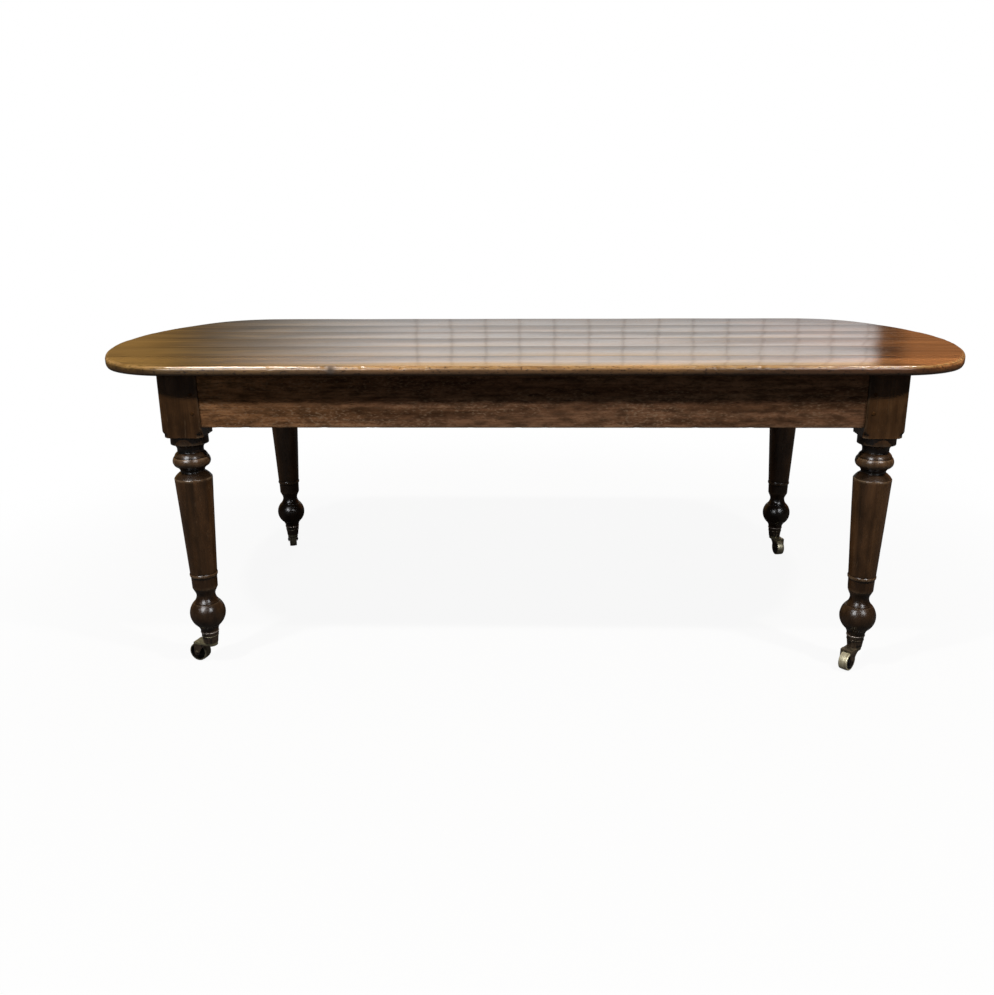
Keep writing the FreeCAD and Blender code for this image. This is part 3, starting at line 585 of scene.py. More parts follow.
def ramp(tree, factor, *stops):
    """Colour ramp with stops of (position, colour)."""
    node = add_node(tree, "ShaderNodeValToRGB", {"Fac": factor})
    elements = node.color_ramp.elements
    while len(elements) < len(stops):
        elements.new(0.5)
    for element, (position, colour) in zip(elements, stops):
        element.position = position
        element.color = (*colour, 1.0)
    return node.outputs[0]


def step_up(tree, value, low, high, start=0.0, end=1.0):
    """Smooth rise from start to end as the value goes from low to high."""
    inputs = {"Value": value, "From Min": low, "From Max": high, "To Min": start, "To Max": end}
    return add_node(tree, "ShaderNodeMapRange", inputs, interpolation_type="SMOOTHSTEP").outputs[0]


def combine(tree, operation, first, second):
    """Sum, product or other plain arithmetic on two numbers."""
    return add_node(tree, "ShaderNodeMath", {0: first, 1: second}, operation=operation).outputs[0]


def product(tree, first, second):
    """One number times another."""
    return combine(tree, "MULTIPLY", first, second)


def larger(tree, first, second):
    """The larger of two numbers."""
    return combine(tree, "MAXIMUM", first, second)


def blend(tree, factor, first, second, blend_type="MIX"):
    """Mix of two colours."""
    return add_node(tree, "ShaderNodeMix", {0: factor, 6: first, 7: second},
                    data_type="RGBA", blend_type=blend_type).outputs[2]


def painted(tree, colour, share, paint):
    """Colour covered by a share of a plain paint."""
    return blend(tree, share, colour, (*paint, 1.0))


def shaded(tree, colour, share, pattern, low, high):
    """Colour times a grey that follows a pattern, by a share; low and high are (pattern, grey)."""
    stops = [(position, (tone, tone, tone)) for position, tone in (low, high)]
    return blend(tree, share, colour, ramp(tree, pattern, *stops), "MULTIPLY")


def attribute(tree, name):
    """A mark that the mesh carries on its points."""
    return add_node(tree, "ShaderNodeAttribute", attribute_name=name).outputs["Fac"]


def split(tree, vector):
    """The x, y and z of a vector."""
    return add_node(tree, "ShaderNodeSeparateXYZ", {0: vector}).outputs[:3]


def bump(tree, height, distance):
    """Normal tilted by a height of 0 to 1 that stands for a distance in metres."""
    return add_node(tree, "ShaderNodeBump", {"Height": height, "Distance": distance}).outputs[0]


def empty_tree(owner):
    """Node tree of a material or a world, cleared."""
    owner.use_nodes = True
    owner.node_tree.nodes.clear()
    return owner.node_tree


def new_finish(name):
    """Empty material with its shader; returns the material, its tree, the shader and Object coordinates."""
    finish = bpy.data.materials.new(name)
    tree = empty_tree(finish)
    shader = add_node(tree, "ShaderNodeBsdfPrincipled")
    add_node(tree, "ShaderNodeOutputMaterial", {"Surface": shader.outputs[0]})
    place = add_node(tree, "ShaderNodeTexCoord").outputs["Object"]
    return finish, tree, shader, place


def along(axis, lengthwise, across):
    """Cell of a pattern that runs lengthwise on one axis."""
    cell = [across, across, across]
    cell[axis] = lengthwise
    return cell


def wood_colour(tree, place, axis, look, shift, contrast):
    """Figure, grain lines and pores of wood along one axis; returns its colour, pores and lines."""
    figure = noise(tree, place, along(axis, 0.90, 0.030), 4.0, shift, 0.6)
    colour = ramp(tree, figure, (0.30, look.dark), (0.50, look.mid), (0.72, look.light))
    lines = noise(tree, place, along(axis, 0.30, 0.0045), 3.0, shift, 0.3)
    colour = shaded(tree, colour, contrast, lines, (0.36, 0.45), (0.60, 1.0))
    pores = noise(tree, place, along(axis, 0.020, 0.0009), 2.0, shift)
    pores = step_up(tree, pores, 0.60, 0.70)
    colour = painted(tree, colour, product(tree, pores, contrast), look.dark)
    return colour, pores, lines


def waxed_top(look):
    """Waxed board tops: long figure, dark joints, rubbed and knocked outer edge, painted shade down the
    edge's face, a front board lightened as painted light, and ends tinted as painted reflection.
    """
    finish, tree, shader, place = new_finish("waxed_top")
    shift = attribute(tree, "board")
    edge = attribute(tree, "edge")
    burn = attribute(tree, "burn")
    colour, pores, lines = wood_colour(tree, place, 0, look, shift, 0.5)
    bands = noise(tree, place, along(0, 1.6, 0.055), 2.0, shift)
    colour = shaded(tree, colour, 0.5, bands, (0.30, 0.60), (0.70, 1.25))
    streaks = noise(tree, place, along(0, 0.24, 0.011), 3.0, shift, 0.6)
    colour = painted(tree, colour, step_up(tree, streaks, 0.50, 0.68, 0.0, 0.65), look.streak)
    stains = noise(tree, place, along(0, 0.22, 0.075), 5.0, distortion=0.5)
    colour = shaded(tree, colour, 0.75, stains, (0.34, 0.52), (0.62, 1.15))
    smears = noise(tree, place, along(0, 0.30, 0.024), 3.0, shift, 0.4)
    colour = shaded(tree, colour, 0.5, smears, (0.38, 0.50), (0.60, 1.15))
    # Painted reflection: the ends are tinted, olive at the left and redder at the right, for the
    # surroundings that they mirror
    rightward = step_up(tree, split(tree, place)[0], -HALF_LENGTH, HALF_LENGTH)
    tint = ramp(tree, rightward, (0.050, look.left_tint), (0.25, WHITE), (0.80, WHITE),
                (0.97, look.right_tint))
    colour = blend(tree, 1.0, colour, tint, "MULTIPLY")
    # Each board's lightness: the front board's is painted light, the others differ at random
    colour = blend(tree, 1.0, colour, attribute(tree, "tone"), "MULTIPLY")
    rub = step_up(tree, noise(tree, place, along(0, 0.050, 0.010), 6.0), 0.36, 0.56, 0.2, 1.0)
    colour = painted(tree, colour, product(tree, attribute(tree, "wear"), rub), look.worn)
    # Painted shade: the face of the outer edge darkens towards its foot
    colour = painted(tree, colour, attribute(tree, "shade"), look.shade)
    specks = step_up(tree, noise(tree, place, along(0, 0.008, 0.004), 4.0), 0.57, 0.65, 0.0, 0.85)
    specks = product(tree, specks, edge)
    dirt = larger(tree, larger(tree, specks, attribute(tree, "grime")), burn)
    colour = painted(tree, colour, dirt, look.dirt)
    gloss = noise(tree, place, along(0, 0.40, 0.020), 3.0, shift)
    gloss = step_up(tree, gloss, 0.30, 0.70, 0.09, 0.13)
    gloss = larger(tree, gloss, product(tree, edge, 0.32))
    height = combine(tree, "SUBTRACT", product(tree, lines, 0.5), product(tree, pores, 0.4))
    height = combine(tree, "SUBTRACT", height, product(tree, specks, 0.4))
    feed(tree, shader, {
        "Base Color": colour,
        "Roughness": larger(tree, gloss, burn),
        "Coat Weight": step_up(tree, edge, 0.2, 0.6, 0.35, 0.0),
        "Coat Roughness": 0.04,
        "Normal": bump(tree, height, 0.00010),
    })
    return finish


def waxed_rail(name, look, axis):
    """Scuffed rail: brown, finely mottled, with pale specks where the polish has gone."""
    finish, tree, shader, place = new_finish(name)
    colour, pores, _ = wood_colour(tree, place, axis, look, None, 0.5)
    # The rails are painted lighter and less blue towards the left end
    rightward = step_up(tree, split(tree, place)[0], -HALF_LENGTH, 0.0)
    lightened = ramp(tree, rightward, (0.25, look.left_tint), (0.85, WHITE))
    colour = blend(tree, 1.0, colour, lightened, "MULTIPLY")
    mottle = noise(tree, place, along(axis, 0.045, 0.012), 8.0)
    colour = shaded(tree, colour, 0.85, mottle, (0.37, 0.45), (0.62, 1.40))
    scuffs = noise(tree, place, along(axis, 0.009, 0.0035), 5.0)
    field = step_up(tree, noise(tree, place, along(axis, 0.20, 0.05), 3.0), 0.36, 0.62, 0.1, 0.55)
    scuffed = product(tree, step_up(tree, scuffs, 0.50, 0.68), field)
    scuffed = larger(tree, scuffed, product(tree, attribute(tree, "wear"), 0.20))
    colour = painted(tree, colour, scuffed, look.worn)
    nicks = product(tree, step_up(tree, scuffs, 0.44, 0.34), 0.6)
    feed(tree, shader, {
        "Base Color": painted(tree, colour, nicks, look.dark),
        "Roughness": step_up(tree, mottle, 0.3, 0.7, 0.36, 0.52),
        "Specular IOR Level": 0.0,
        "Normal": bump(tree, combine(tree, "SUBTRACT", scuffs, pores), 0.00025),
    })
    return finish


def waxed_leg(look):
    """Dark polished leg: faint upright grain, grime in the necks, rubbed arrises, a smoother block."""
    finish, tree, shader, place = new_finish("waxed_leg")
    colour, pores, lines = wood_colour(tree, place, 2, look, None, 0.3)
    patch = noise(tree, place, (0.030, 0.030, 0.060), 4.0)
    colour = shaded(tree, colour, 0.8, patch, (0.34, 0.60), (0.66, 1.35))
    rub = step_up(tree, noise(tree, place, (0.012, 0.012, 0.012), 4.0), 0.36, 0.64, 0.20, 0.85)
    rubbed = product(tree, attribute(tree, "wear"), rub)
    scratches = noise(tree, place, (0.0035, 0.0035, 0.080), 3.0)
    rubbed = larger(tree, rubbed, step_up(tree, scratches, 0.66, 0.72, 0.0, 0.25))
    specks = noise(tree, place, (0.006, 0.006, 0.010), 4.0)
    specks = product(tree, step_up(tree, specks, 0.64, 0.72, 0.0, 0.30), step_up(tree, patch, 0.46, 0.60))
    colour = painted(tree, colour, larger(tree, rubbed, specks), look.worn)
    on_block = step_up(tree, split(tree, place)[2], *BLOCK_FOOT)
    grime = larger(tree, product(tree, attribute(tree, "grime"), 0.85), product(tree, on_block, 0.18))
    gloss = step_up(tree, on_block, 0.0, 1.0, 0.27, 0.16)
    feed(tree, shader, {
        "Base Color": painted(tree, colour, grime, look.grime),
        "Roughness": product(tree, gloss, step_up(tree, patch, 0.3, 0.7, 0.9, 1.1)),
        "Normal": bump(tree, combine(tree, "SUBTRACT", product(tree, lines, 0.3), pores), 0.00005),
    })
    return finish


def dark_peg(look):
    """Dark end grain of the tenon pegs."""
    finish, tree, shader, place = new_finish("dark_peg")
    rings = noise(tree, place, (0.003, 0.003, 0.003), 3.0)
    feed(tree, shader, {
        "Base Color": ramp(tree, rings, (0.35, look.dark), (0.65, look.mid)),
        "Roughness": 0.65,
        "Specular IOR Level": 0.0,
    })
    return finish


def bare_wood(name, look, axis):
    """Unpolished aged wood of the pieces under the top."""
    finish, tree, shader, place = new_finish(name)
    colour, pores, lines = wood_colour(tree, place, axis, look, None, 0.7)
    feed(tree, shader, {
        "Base Color": colour,
        "Roughness": step_up(tree, lines, 0.3, 0.7, 0.62, 0.80),
        "Normal": bump(tree, combine(tree, "SUBTRACT", lines, pores), 0.0003),
    })
    return finish


def rusty_iron(look):
    """Iron of the screws, rusted and dull in patches."""
    finish, tree, shader, place = new_finish("iron_screw")
    rust = step_up(tree, noise(tree, place, (0.009, 0.009, 0.009), 5.0), 0.47, 0.67)
    scratches = noise(tree, place, (0.0012, 0.0012, 0.0040), 2.0)
    feed(tree, shader, {
        "Base Color": painted(tree, (*look.iron, 1.0), rust, look.rust),
        "Roughness": step_up(tree, rust, 0.0, 1.0, 0.45, 0.75),
        "Metallic": 1.0,
        "Normal": bump(tree, scratches, 0.00008),
    })
    return finish


def castor_brass(name, look, dust):
    """Darkened brass of the castors: rubbed bright on the cups' rims, dusty where the horns face up."""
    finish, tree, shader, place = new_finish(name)
    height = split(tree, place)[2]
    upward = split(tree, add_node(tree, "ShaderNodeTexCoord").outputs["Normal"])[2]
    dirt = step_up(tree, noise(tree, place, (0.009, 0.009, 0.009), 5.0), 0.45, 0.65)
    colour = painted(tree, (*look.bronze, 1.0), dirt, look.soot_and_shade)
    fade = 0.001
    low = look.fender_height
    high = look.fender_height + look.fender_depth
    fender = product(tree, step_up(tree, height, low - fade, low + fade),
                     step_up(tree, height, high + fade, high))
    dusty = larger(tree, step_up(tree, upward, 0.30, 0.60), fender)
    dusty = product(tree, dusty, step_up(tree, dirt, 0.0, 1.0, dust, 0.6 * dust))
    colour = painted(tree, colour, dusty, look.dusty)
    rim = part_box("castor_cup_front_left")[1].z
    on_rim = step_up(tree, height, rim - 1.2 * look.rim_height, rim - 0.7 * look.rim_height)
    feed(tree, shader, {
        "Base Color": painted(tree, colour, on_rim, look.rubbed),
        "Roughness": step_up(tree, dirt, 0.0, 1.0, 0.34, 0.50),
        "Metallic": 0.4,
        "Normal": bump(tree, dirt, 0.00006),
    })
    return finish


def wheel_brass(look):
    """Brass wheel: tread rubbed bright, bands and spots of tarnish, painted shade in the dished sides and
    on the treads of wheels that stand in shade.
    """
    finish, tree, shader, place = new_finish("wheel_brass")
    across = add_node(tree, "ShaderNodeCombineXYZ", {0: attribute(tree, "across")}).outputs[0]
    bands = step_up(tree, noise(tree, across, (0.0045, 1.0, 1.0), 3.0), 0.42, 0.62)
    spots = step_up(tree, noise(tree, place, (0.008, 0.008, 0.004), 5.0), 0.52, 0.74)
    dirt = larger(tree, product(tree, bands, 0.7), product(tree, spots, 0.5))
    colour = painted(tree, (*look.brass, 1.0), dirt, look.tarnish)
    # Painted shade: the dished sides, and the treads of the wheels that stand in shade, are darkened
    soot_and_shade = attribute(tree, "grime")
    feed(tree, shader, {
        "Base Color": painted(tree, colour, soot_and_shade, look.soot_and_shade),
        "Roughness": step_up(tree, soot_and_shade, 0.0, 1.0, 0.42, 0.70),
        "Metallic": step_up(tree, soot_and_shade, 0.0, 1.0, 0.45, 0.0),
        "Normal": bump(tree, dirt, 0.0001),
    })
    return finish


def dress(node, finish):
    """Give a node of the frame its finish."""
    for slot in frame["nodes"][node].material_slots:
        slot.material = finish


def plan_reach(y, inset, look):
    """Half the length of the top at y, for its outline drawn in by an inset.

    Each end is a bow about a centre on the middle line, then a corner arc tangent to the bow and
    to the long edge; the inset shortens both radii about the same centres.
    """
    turn = math.asin((HALF_WIDTH - look.corner_radius) / (look.bow_radius - look.corner_radius))
    bow_x = HALF_LENGTH - look.bow_radius
    corner_x = bow_x + (look.bow_radius - look.corner_radius) * math.cos(turn)
    corner_y = HALF_WIDTH - look.corner_radius
    y = np.abs(y)
    bow = bow_x + np.sqrt(np.maximum((look.bow_radius - inset) ** 2 - y ** 2, 0.0))
    beyond = np.maximum(y - corner_y, 0.0)
    corner = corner_x + np.sqrt(np.maximum((look.corner_radius - inset) ** 2 - beyond ** 2, 0.0))
    return np.where(y < (look.bow_radius - inset) * math.sin(turn), bow, corner)


def edge_levels(look, thickness):
    """Levels down the outer edge: inset, drop below the top, and wear.

    At angle a down the upper arc the inset is r (1 - sin a) and the drop r (1 - cos a), and the lower
    arc mirrors that. Wear is the root of sin a, fading out near the arc's foot, and little below.
    """
    upper = np.linspace(0.0, QUARTER_TURN, UPPER_LEVELS)
    lower = np.linspace(0.0, QUARTER_TURN, LOWER_LEVELS)
    inset = np.concatenate((look.upper_arris * (1.0 - np.sin(upper)),
                            look.lower_arris * (1.0 - np.cos(lower))))
    drop = np.concatenate((look.upper_arris * (1.0 - np.cos(upper)),
                           thickness - look.lower_arris * (1.0 - np.sin(lower))))
    wear = np.concatenate((np.sin(upper) ** 0.5 * np.clip((WEAR_END - upper) / WEAR_FADE, 0.0, 1.0),
                           LOWER_WEAR * np.sin(2.0 * lower)))
    return inset, drop, wear


def board_points(low, high, is_first, is_last, look, columns):
    """Points of one board as nested plan grids, one for each level of the edge, and the levels' wear.

    At a level the board is x = u X(y), y from its front edge to its back edge, for u from -1 to 1,
    where X is the reach of the outline drawn in by the level's inset and by the knocks of use.
    A level sinks by its share, 1 - drop / thickness, of the fall to the joints and of the hollows.
    """
    thickness = high.z - low.z
    inset, drop, wear = (level[:, None, None] for level in edge_levels(look, thickness))
    u = np.linspace(-1.0, 1.0, columns)[None, :, None]
    v = (0.5 - 0.5 * np.cos(np.linspace(0.0, math.pi, BOARD_ROWS)))[None, None, :]
    eased = np.maximum(look.joint_bevel - np.minimum(drop, thickness - drop), 0.0)

    def grid(knock):
        """The levels' plan grids, with the outer edge driven in by a knock."""
        front = -HALF_WIDTH + inset + knock if is_first else low.y + eased
        back = HALF_WIDTH - inset - knock if is_last else high.y - eased
        y = front + v * (back - front)
        x = u * plan_reach(y, inset + knock, look)
        z = np.broadcast_to(HEIGHT - drop, x.shape)
        return np.stack((x, np.broadcast_to(y, x.shape), z), axis=-1)

    flat = grid(0.0) * (1.0, 1.0, 0.0)
    knocks = sum(knocked(flat, wavelength, BOARD_SEED + number, threshold)
                 for number, (wavelength, threshold) in enumerate(BOARD_KNOCKS))
    points = grid(look.dent_depth * np.clip(knocks, 0.0, 1.2) * np.clip(wear * 2.0, 0.0, 1.0))
    fall = (2.0 * v - 1.0) ** 2
    if is_first:
        fall = np.where(v < 0.5, look.front_fall * fall, fall)
    if is_last:
        fall = np.where(v > 0.5, look.back_fall * fall, fall)
    hollow_seed = BOARD_SEED + len(BOARD_KNOCKS)
    hollow = 0.5 + 0.25 * ripple(points * (0.35, 1.0, 0.0), BOARD_HOLLOW_WAVE, hollow_seed)
    sunk = look.board_fall * fall + look.unevenness * np.clip(hollow, 0.0, 1.0)
    points[..., 2] -= (1.0 - drop / thickness) * sunk
    return points, wear


def board_skin(grids, wear):
    """Skin of a board: its upper grid, bands of quads down its border and its lower grid.

    Returns the points (the upper grid, the border loops of the levels between, the lower grid), their
    faces, and the wear of each point.
    """
    levels, columns, rows = grids.shape[:3]
    count = columns * rows
    number = np.arange(count).reshape(columns, rows)
    loop = np.concatenate((number[:-1, 0], number[-1, :-1], number[:0:-1, -1], number[0, :0:-1]))
    flat = grids.reshape(levels, count, 3)
    points = np.concatenate((flat[0], flat[1:-1, loop].reshape(-1, 3), flat[-1]))
    lower_grid = count + (levels - 2) * len(loop)
    between = np.arange(count, lower_grid).reshape(levels - 2, len(loop))
    rings = np.concatenate((loop[None], between, lower_grid + loop[None]))
    upper, lower = rings[:-1], rings[1:]
    sides = np.stack((upper, lower, np.roll(lower, -1, axis=1), np.roll(upper, -1, axis=1)), axis=-1)
    cells = grid_quads(columns, rows)
    faces = np.concatenate((cells, sides.reshape(-1, 4), cells[:, ::-1] + lower_grid)).tolist()
    side_wear = np.repeat(wear[1:-1].ravel(), len(loop))
    return points, faces, np.concatenate((np.zeros(count), side_wear, np.zeros(count)))


def board_marks(points, wear, index, low, high, look):
    """Marks of a board, from its points' distances to its joints, to the outline and to the burn.

    Edge and grime fall away exponentially with distance and the burn as a bell; wear and shade end
    at a distance from the outline.
    """
    x, y, z = points.T
    to_front = np.abs(y - low.y) + (math.inf if index == 0 else 0.0)
    to_back = np.abs(y - high.y) + (math.inf if index == len(BOARDS) - 1 else 0.0)
    inside = np.minimum(HALF_WIDTH - np.abs(y), plan_reach(y, 0.0, look) - np.abs(x))
    scar = np.linalg.norm((points - np.array(look.scar_place)) / look.scar_size, axis=1)
    drop = (high.z - z - look.upper_arris) / (high.z - low.z - look.upper_arris)
    return {
        "board": np.full(len(points), BOARD_SLICE * index),
        # The front board's lightness is painted light; the other boards differ at random
        "tone": np.full(len(points), BOARD_TONES_AND_LIGHT[index % len(BOARD_TONES_AND_LIGHT)]),
        "wear": wear * (inside < RUB_REACH),
        "edge": np.exp(-np.maximum(inside, 0.0) / EDGE_REACH),
        "grime": JOINT_GRIME * np.exp(-np.minimum(to_front, to_back) / JOINT_REACH),
        "burn": BURN_STRENGTH * np.exp(-scar ** 2),
        # Painted shade: the face of the outer edge darkens towards its foot
        "shade": np.clip(SHADE_START + drop, 0.0, SHADE_LIMIT) * (drop > 0.0) * (inside < EDGE_REACH),
    }


class TABLE_OT_top_boards(bpy.types.Operator):
    """Make the boards of the top, bowed at the ends, with worn edges and eased joints"""
    bl_idname = "table.top_boards"
    bl_label = "Top boards"

    def execute(self, context):
        look = context.scene.table_top
        finish = waxed_top(look)
        for index, name in enumerate(BOARDS):
            low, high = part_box(name)
            is_first = index == 0
            is_last = index == len(BOARDS) - 1
            columns = FRONT_BOARD_COLUMNS if is_first else BOARD_COLUMNS
            points, faces, wear = board_skin(*board_points(low, high, is_first, is_last, look, columns))
            marks = board_marks(points, wear, index, low, high, look)
            new_piece(f"{name}_waxed", points, faces, finish, "table", name, marks)
        return {"FINISHED"}


def rail_section(width, height, radius):
    """Loop of points x + zj round a rail's section, anticlockwise, and which of them lie on an arris.

    Each arris is a quarter arc about a centre drawn in by the radius, and straight steps join it to
    the next.
    """
    x = width / 2.0 - radius
    z = height / 2.0 - radius
    centres = (complex(x, z), complex(-x, z), complex(-x, -z), complex(x, -z))
    bend = np.linspace(0.0, QUARTER_TURN, RAIL_ARRIS_POINTS)
    loop = []
    on_arris = []
    for turn, (centre, following) in enumerate(zip(centres, centres[1:] + centres[:1])):
        arc = radius * np.exp(1j * (bend + turn * QUARTER_TURN)) + centre
        start = arc[-1]
        end = radius * 1j ** (turn + 1) + following
        steps = max(4, int(abs(end - start) / RAIL_STEP))
        run = start + (end - start) * np.linspace(0.0, 1.0, steps + 1)[1:-1]
        loop += [arc, run]
        on_arris += [np.ones(len(arc)), np.zeros(len(run))]
    return np.concatenate(loop), np.concatenate(on_arris)


def rail_rings(low, high, look, lengthwise, seed):
    """Rings along a rail: its section carried down its length, sunk by uneven planing and knocks."""
    size = high - low
    width, length = (size.y, size.x) if lengthwise else (size.x, size.y)
    loop, wear = rail_section(width, size.z, look.arris)
    stations = np.linspace(length / 2.0, -length / 2.0, int(length / RAIL_STEP) + 1)
    along_rail, around = np.meshgrid(stations, loop, indexing="ij")
    rings = np.stack((along_rail, around.real, around.imag), axis=-1)
    hollow = 0.5 + 0.3 * ripple(rings * (0.5, 1.0, 1.0), RAIL_HOLLOW_WAVE, seed)
    knocks = wear * knocked(rings, RAIL_KNOCK_WAVE, seed + 1, 1.0, 1.0)
    depth = look.unevenness * (np.clip(hollow, 0.0, 1.0) + 2.0 * knocks)
    rings[..., 1] *= 1.0 - depth / (width / 2.0)
    rings[..., 2] += (rings[..., 2] < 0.0) * knocks * look.unevenness
    if not lengthwise:
        rings = np.stack((-rings[..., 1], rings[..., 0], rings[..., 2]), axis=-1)
    return rings + np.array((low + high) / 2.0), np.broadcast_to(wear, rings.shape[:2])


class TABLE_OT_rails(bpy.types.Operator):
    """Make the four rails between the leg blocks, hand planed and scuffed"""
    bl_idname = "table.rails"
    bl_label = "Rails"

    def execute(self, context):
        look = context.scene.table_rails
        finishes = {True: waxed_rail("waxed_rail_x", look, 0), False: waxed_rail("waxed_rail_y", look, 1)}
        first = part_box("leg_front_left")[1]
        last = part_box("leg_back_right")[0]
        for index, name in enumerate(RAILS):
            lengthwise = name in LONG_RAILS
            low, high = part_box(name)
            axis = 0 if lengthwise else 1
            low[axis] = first[axis] + SHOULDER_GAP
            high[axis] = last[axis] - SHOULDER_GAP
            rings, wear = rail_rings(low, high, look, lengthwise, RAIL_SEED + 3 * index)
            points, faces = capped(rings)
            new_piece(f"{name}_waxed", points, faces, finishes[lengthwise], "table", name,
                      {"wear": with_poles(wear)})
        return {"FINISHED"}


class TABLE_OT_legs(bpy.types.Operator):
    """Make the four turned legs with their square blocks"""
    bl_idname = "table.legs"
    bl_label = "Legs"

    def execute(self, context):
        look = context.scene.table_legs
        finish = waxed_leg(look)
        stations = turned_stations(LEG_OUTLINE, look.softening)
        for index, corner in enumerate(CORNERS):
            self.make_leg(f"leg_{corner}", LEG_SEED + 2 * index, look, finish, *stations)
        return {"FINISHED"}

    def make_leg(self, name, seed, look, finish, radius, height, wear, grime):
        """A leg is the turned outline cut by the square: at each angle the lesser of the two radii."""
        low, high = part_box(name)
        middle = (low + high) / 2.0
        loop = rounded_square((high.x - low.x) / 2.0, look.arris)
        reach = np.minimum(np.abs(loop)[None, :], radius[:, None])
        on_block = np.abs(loop)[None, :] < radius[:, None]
        ring = reach * (loop / np.abs(loop))[None, :]
        level = np.broadcast_to(height[:, None], ring.shape)
        rings = np.stack((ring.real, ring.imag, level), axis=-1)
        at_arris = np.abs(np.abs(loop.real) - np.abs(loop.imag)) < 2.0 * look.arris
        worn = np.where(on_block, BLOCK_WEAR * at_arris[None, :], wear[:, None])
        dirt_height, dirt_share = np.array(LEG_DIRT[::-1]).T
        dirt = np.maximum(grime, np.interp(height, dirt_height, dirt_share))
        dirty = np.where(on_block, 0.0, dirt[:, None])
        knocks = knocked(rings, LEG_KNOCK_WAVE, seed, 1.0, 1.0) * (LEAST_KNOCK + worn)
        sway = LEG_SWAY * ripple(rings * (1.0, 1.0, 0.4), LEG_SWAY_WAVE, seed + 1)
        depth = look.dent_depth * np.clip(knocks + LEG_SWAY + sway, 0.0, None)
        rings[..., :2] *= (1.0 - depth / reach)[..., None]
        points, faces = capped(rings + np.array((middle.x, middle.y, 0.0)))
        new_piece(f"{name}_turned", points, faces, finish, "table", name,
                  {"wear": with_poles(worn), "grime": with_poles(dirty)})


class TABLE_OT_tenon_pegs(bpy.types.Operator):
    """Finish the pegs that pin the tenons in the leg blocks"""
    bl_idname = "table.tenon_pegs"
    bl_label = "Tenon pegs"

    def execute(self, context):
        dress("tenon_pegs", dark_peg(context.scene.table_legs))
        return {"FINISHED"}


class TABLE_OT_underside(bpy.types.Operator):
    """Finish the bearers, buttons, dowels and screws under the top"""
    bl_idname = "table.underside"
    bl_label = "Underside"

    def execute(self, context):
        look = context.scene.table_underside
        across = bare_wood("bare_wood_y", look, 1)
        for name in ("cross_bearer_left", "cross_bearer_right", "board_dowels"):
            dress(name, across)
        dress("top_buttons", bare_wood("bare_wood_x", look, 0))
        iron = rusty_iron(look)
        for name in ("bearer_screws", "button_screws"):
            dress(name, iron)
        return {"FINISHED"}


def wheel_section(radius, look):
    """Half of a wheel's section in rows of place along the axle, radius and swell, bore to bore."""
    half = look.wheel_width / 2.0
    web = half - look.dish_depth
    rim = radius - look.tread_crown
    dish = rim - look.rim_wall
    flat = half - look.edge_radius
    round_edge = math.tan(QUARTER_TURN / 4.0)
    return (
        (half, look.bore_radius, 0.0),
        (half, look.hub_radius, 0.0),
        (web, look.hub_radius, 0.0),
        (web, dish, 0.0),
        (half, dish, 0.0),
        (half, rim - look.edge_radius, round_edge),
        (flat, rim, look.tread_crown / flat),
        (-flat, rim, round_edge),
        (-half, rim - look.edge_radius, 0.0),
        (-half, dish, 0.0),
        (-web, dish, 0.0),
        (-web, look.hub_radius, 0.0),
        (-half, look.hub_radius, 0.0),
        (-half, look.bore_radius, 0.0),
    )


class TABLE_OT_castors(bpy.types.Operator):
    """Make the brass wheels and finish the cups, horns and pins of the castors"""
    bl_idname = "table.castors"
    bl_label = "Castors"

    def execute(self, context):
        look = context.scene.table_castors
        brass = wheel_brass(look)
        for corner in CORNERS:
            dark = castor_brass(f"dark_brass_{corner}", look, HORN_DUST[corner])
            for kind in ("castor_cup", "castor_horn", "swivel_pin", "axle_pin"):
                dress(f"{kind}_{corner}", dark)
            self.make_wheel(corner, look, brass)
        dress("cup_screws", castor_brass("screw_brass", look, 1.0))
        return {"FINISHED"}

    def make_wheel(self, corner, look, finish):
        """A wheel is its section carried round the axle: C + a A + r (cos t U + sin t V) at angle t.

        A runs along the axle, U is upright and V is square to both; a and r come from the section.
        """
        joint = JOINTS[f"roll_{corner}"]
        centre = np.array(joint["pos_m"])
        axle = np.array(joint["axis"])
        upright = np.array((0.0, 0.0, 1.0))
        radius, place, _, _ = turned_stations(wheel_section(centre[2], look), WHEEL_SOFTENING)
        turn = np.linspace(0.0, 2.0 * math.pi, WHEEL_SPOKES + 1)[:-1]
        spoke = np.cos(turn)[:, None] * upright + np.sin(turn)[:, None] * np.cross(axle, upright)
        rings = centre + place[:, None, None] * axle + radius[:, None, None] * spoke
        rows, columns = rings.shape[:2]
        faces = grid_quads(rows + 1, columns, around=True) % (rows * columns)
        # Painted shade: the dished sides, and the whole of a wheel listed as standing in shade, are
        # darkened
        dish = centre[2] - look.tread_crown - look.rim_wall
        in_dish = radius < dish + WHEEL_SOFTENING * 1.5
        soot_and_shade = np.maximum(in_dish, WHEEL_PAINTED_SHADE[corner])
        marks = {"grime": np.repeat(soot_and_shade, columns), "across": np.repeat(place, columns)}
        name = f"castor_wheel_{corner}"
        new_piece(f"{name}_turned", rings, faces.tolist(), finish, f"wheel_{corner}", name,
                  marks)


def area_light(name, place, target, width, height, power, colour):
    """Soft lamp at a place, turned so that its -Z points to a target."""
    light = bpy.data.lights.new(name, "AREA")
    light.shape = "RECTANGLE"
    light.size = width
    light.size_y = height
    light.energy = power
    light.color = colour
    lamp = bpy.data.objects.new(name, light)
    turn = (Vector(target) - Vector(place)).to_track_quat("-Z", "Y").to_matrix().to_4x4()
    lamp.matrix_world = Matrix.Translation(place) @ turn
    bpy.context.scene.collection.objects.link(lamp)
    return lamp


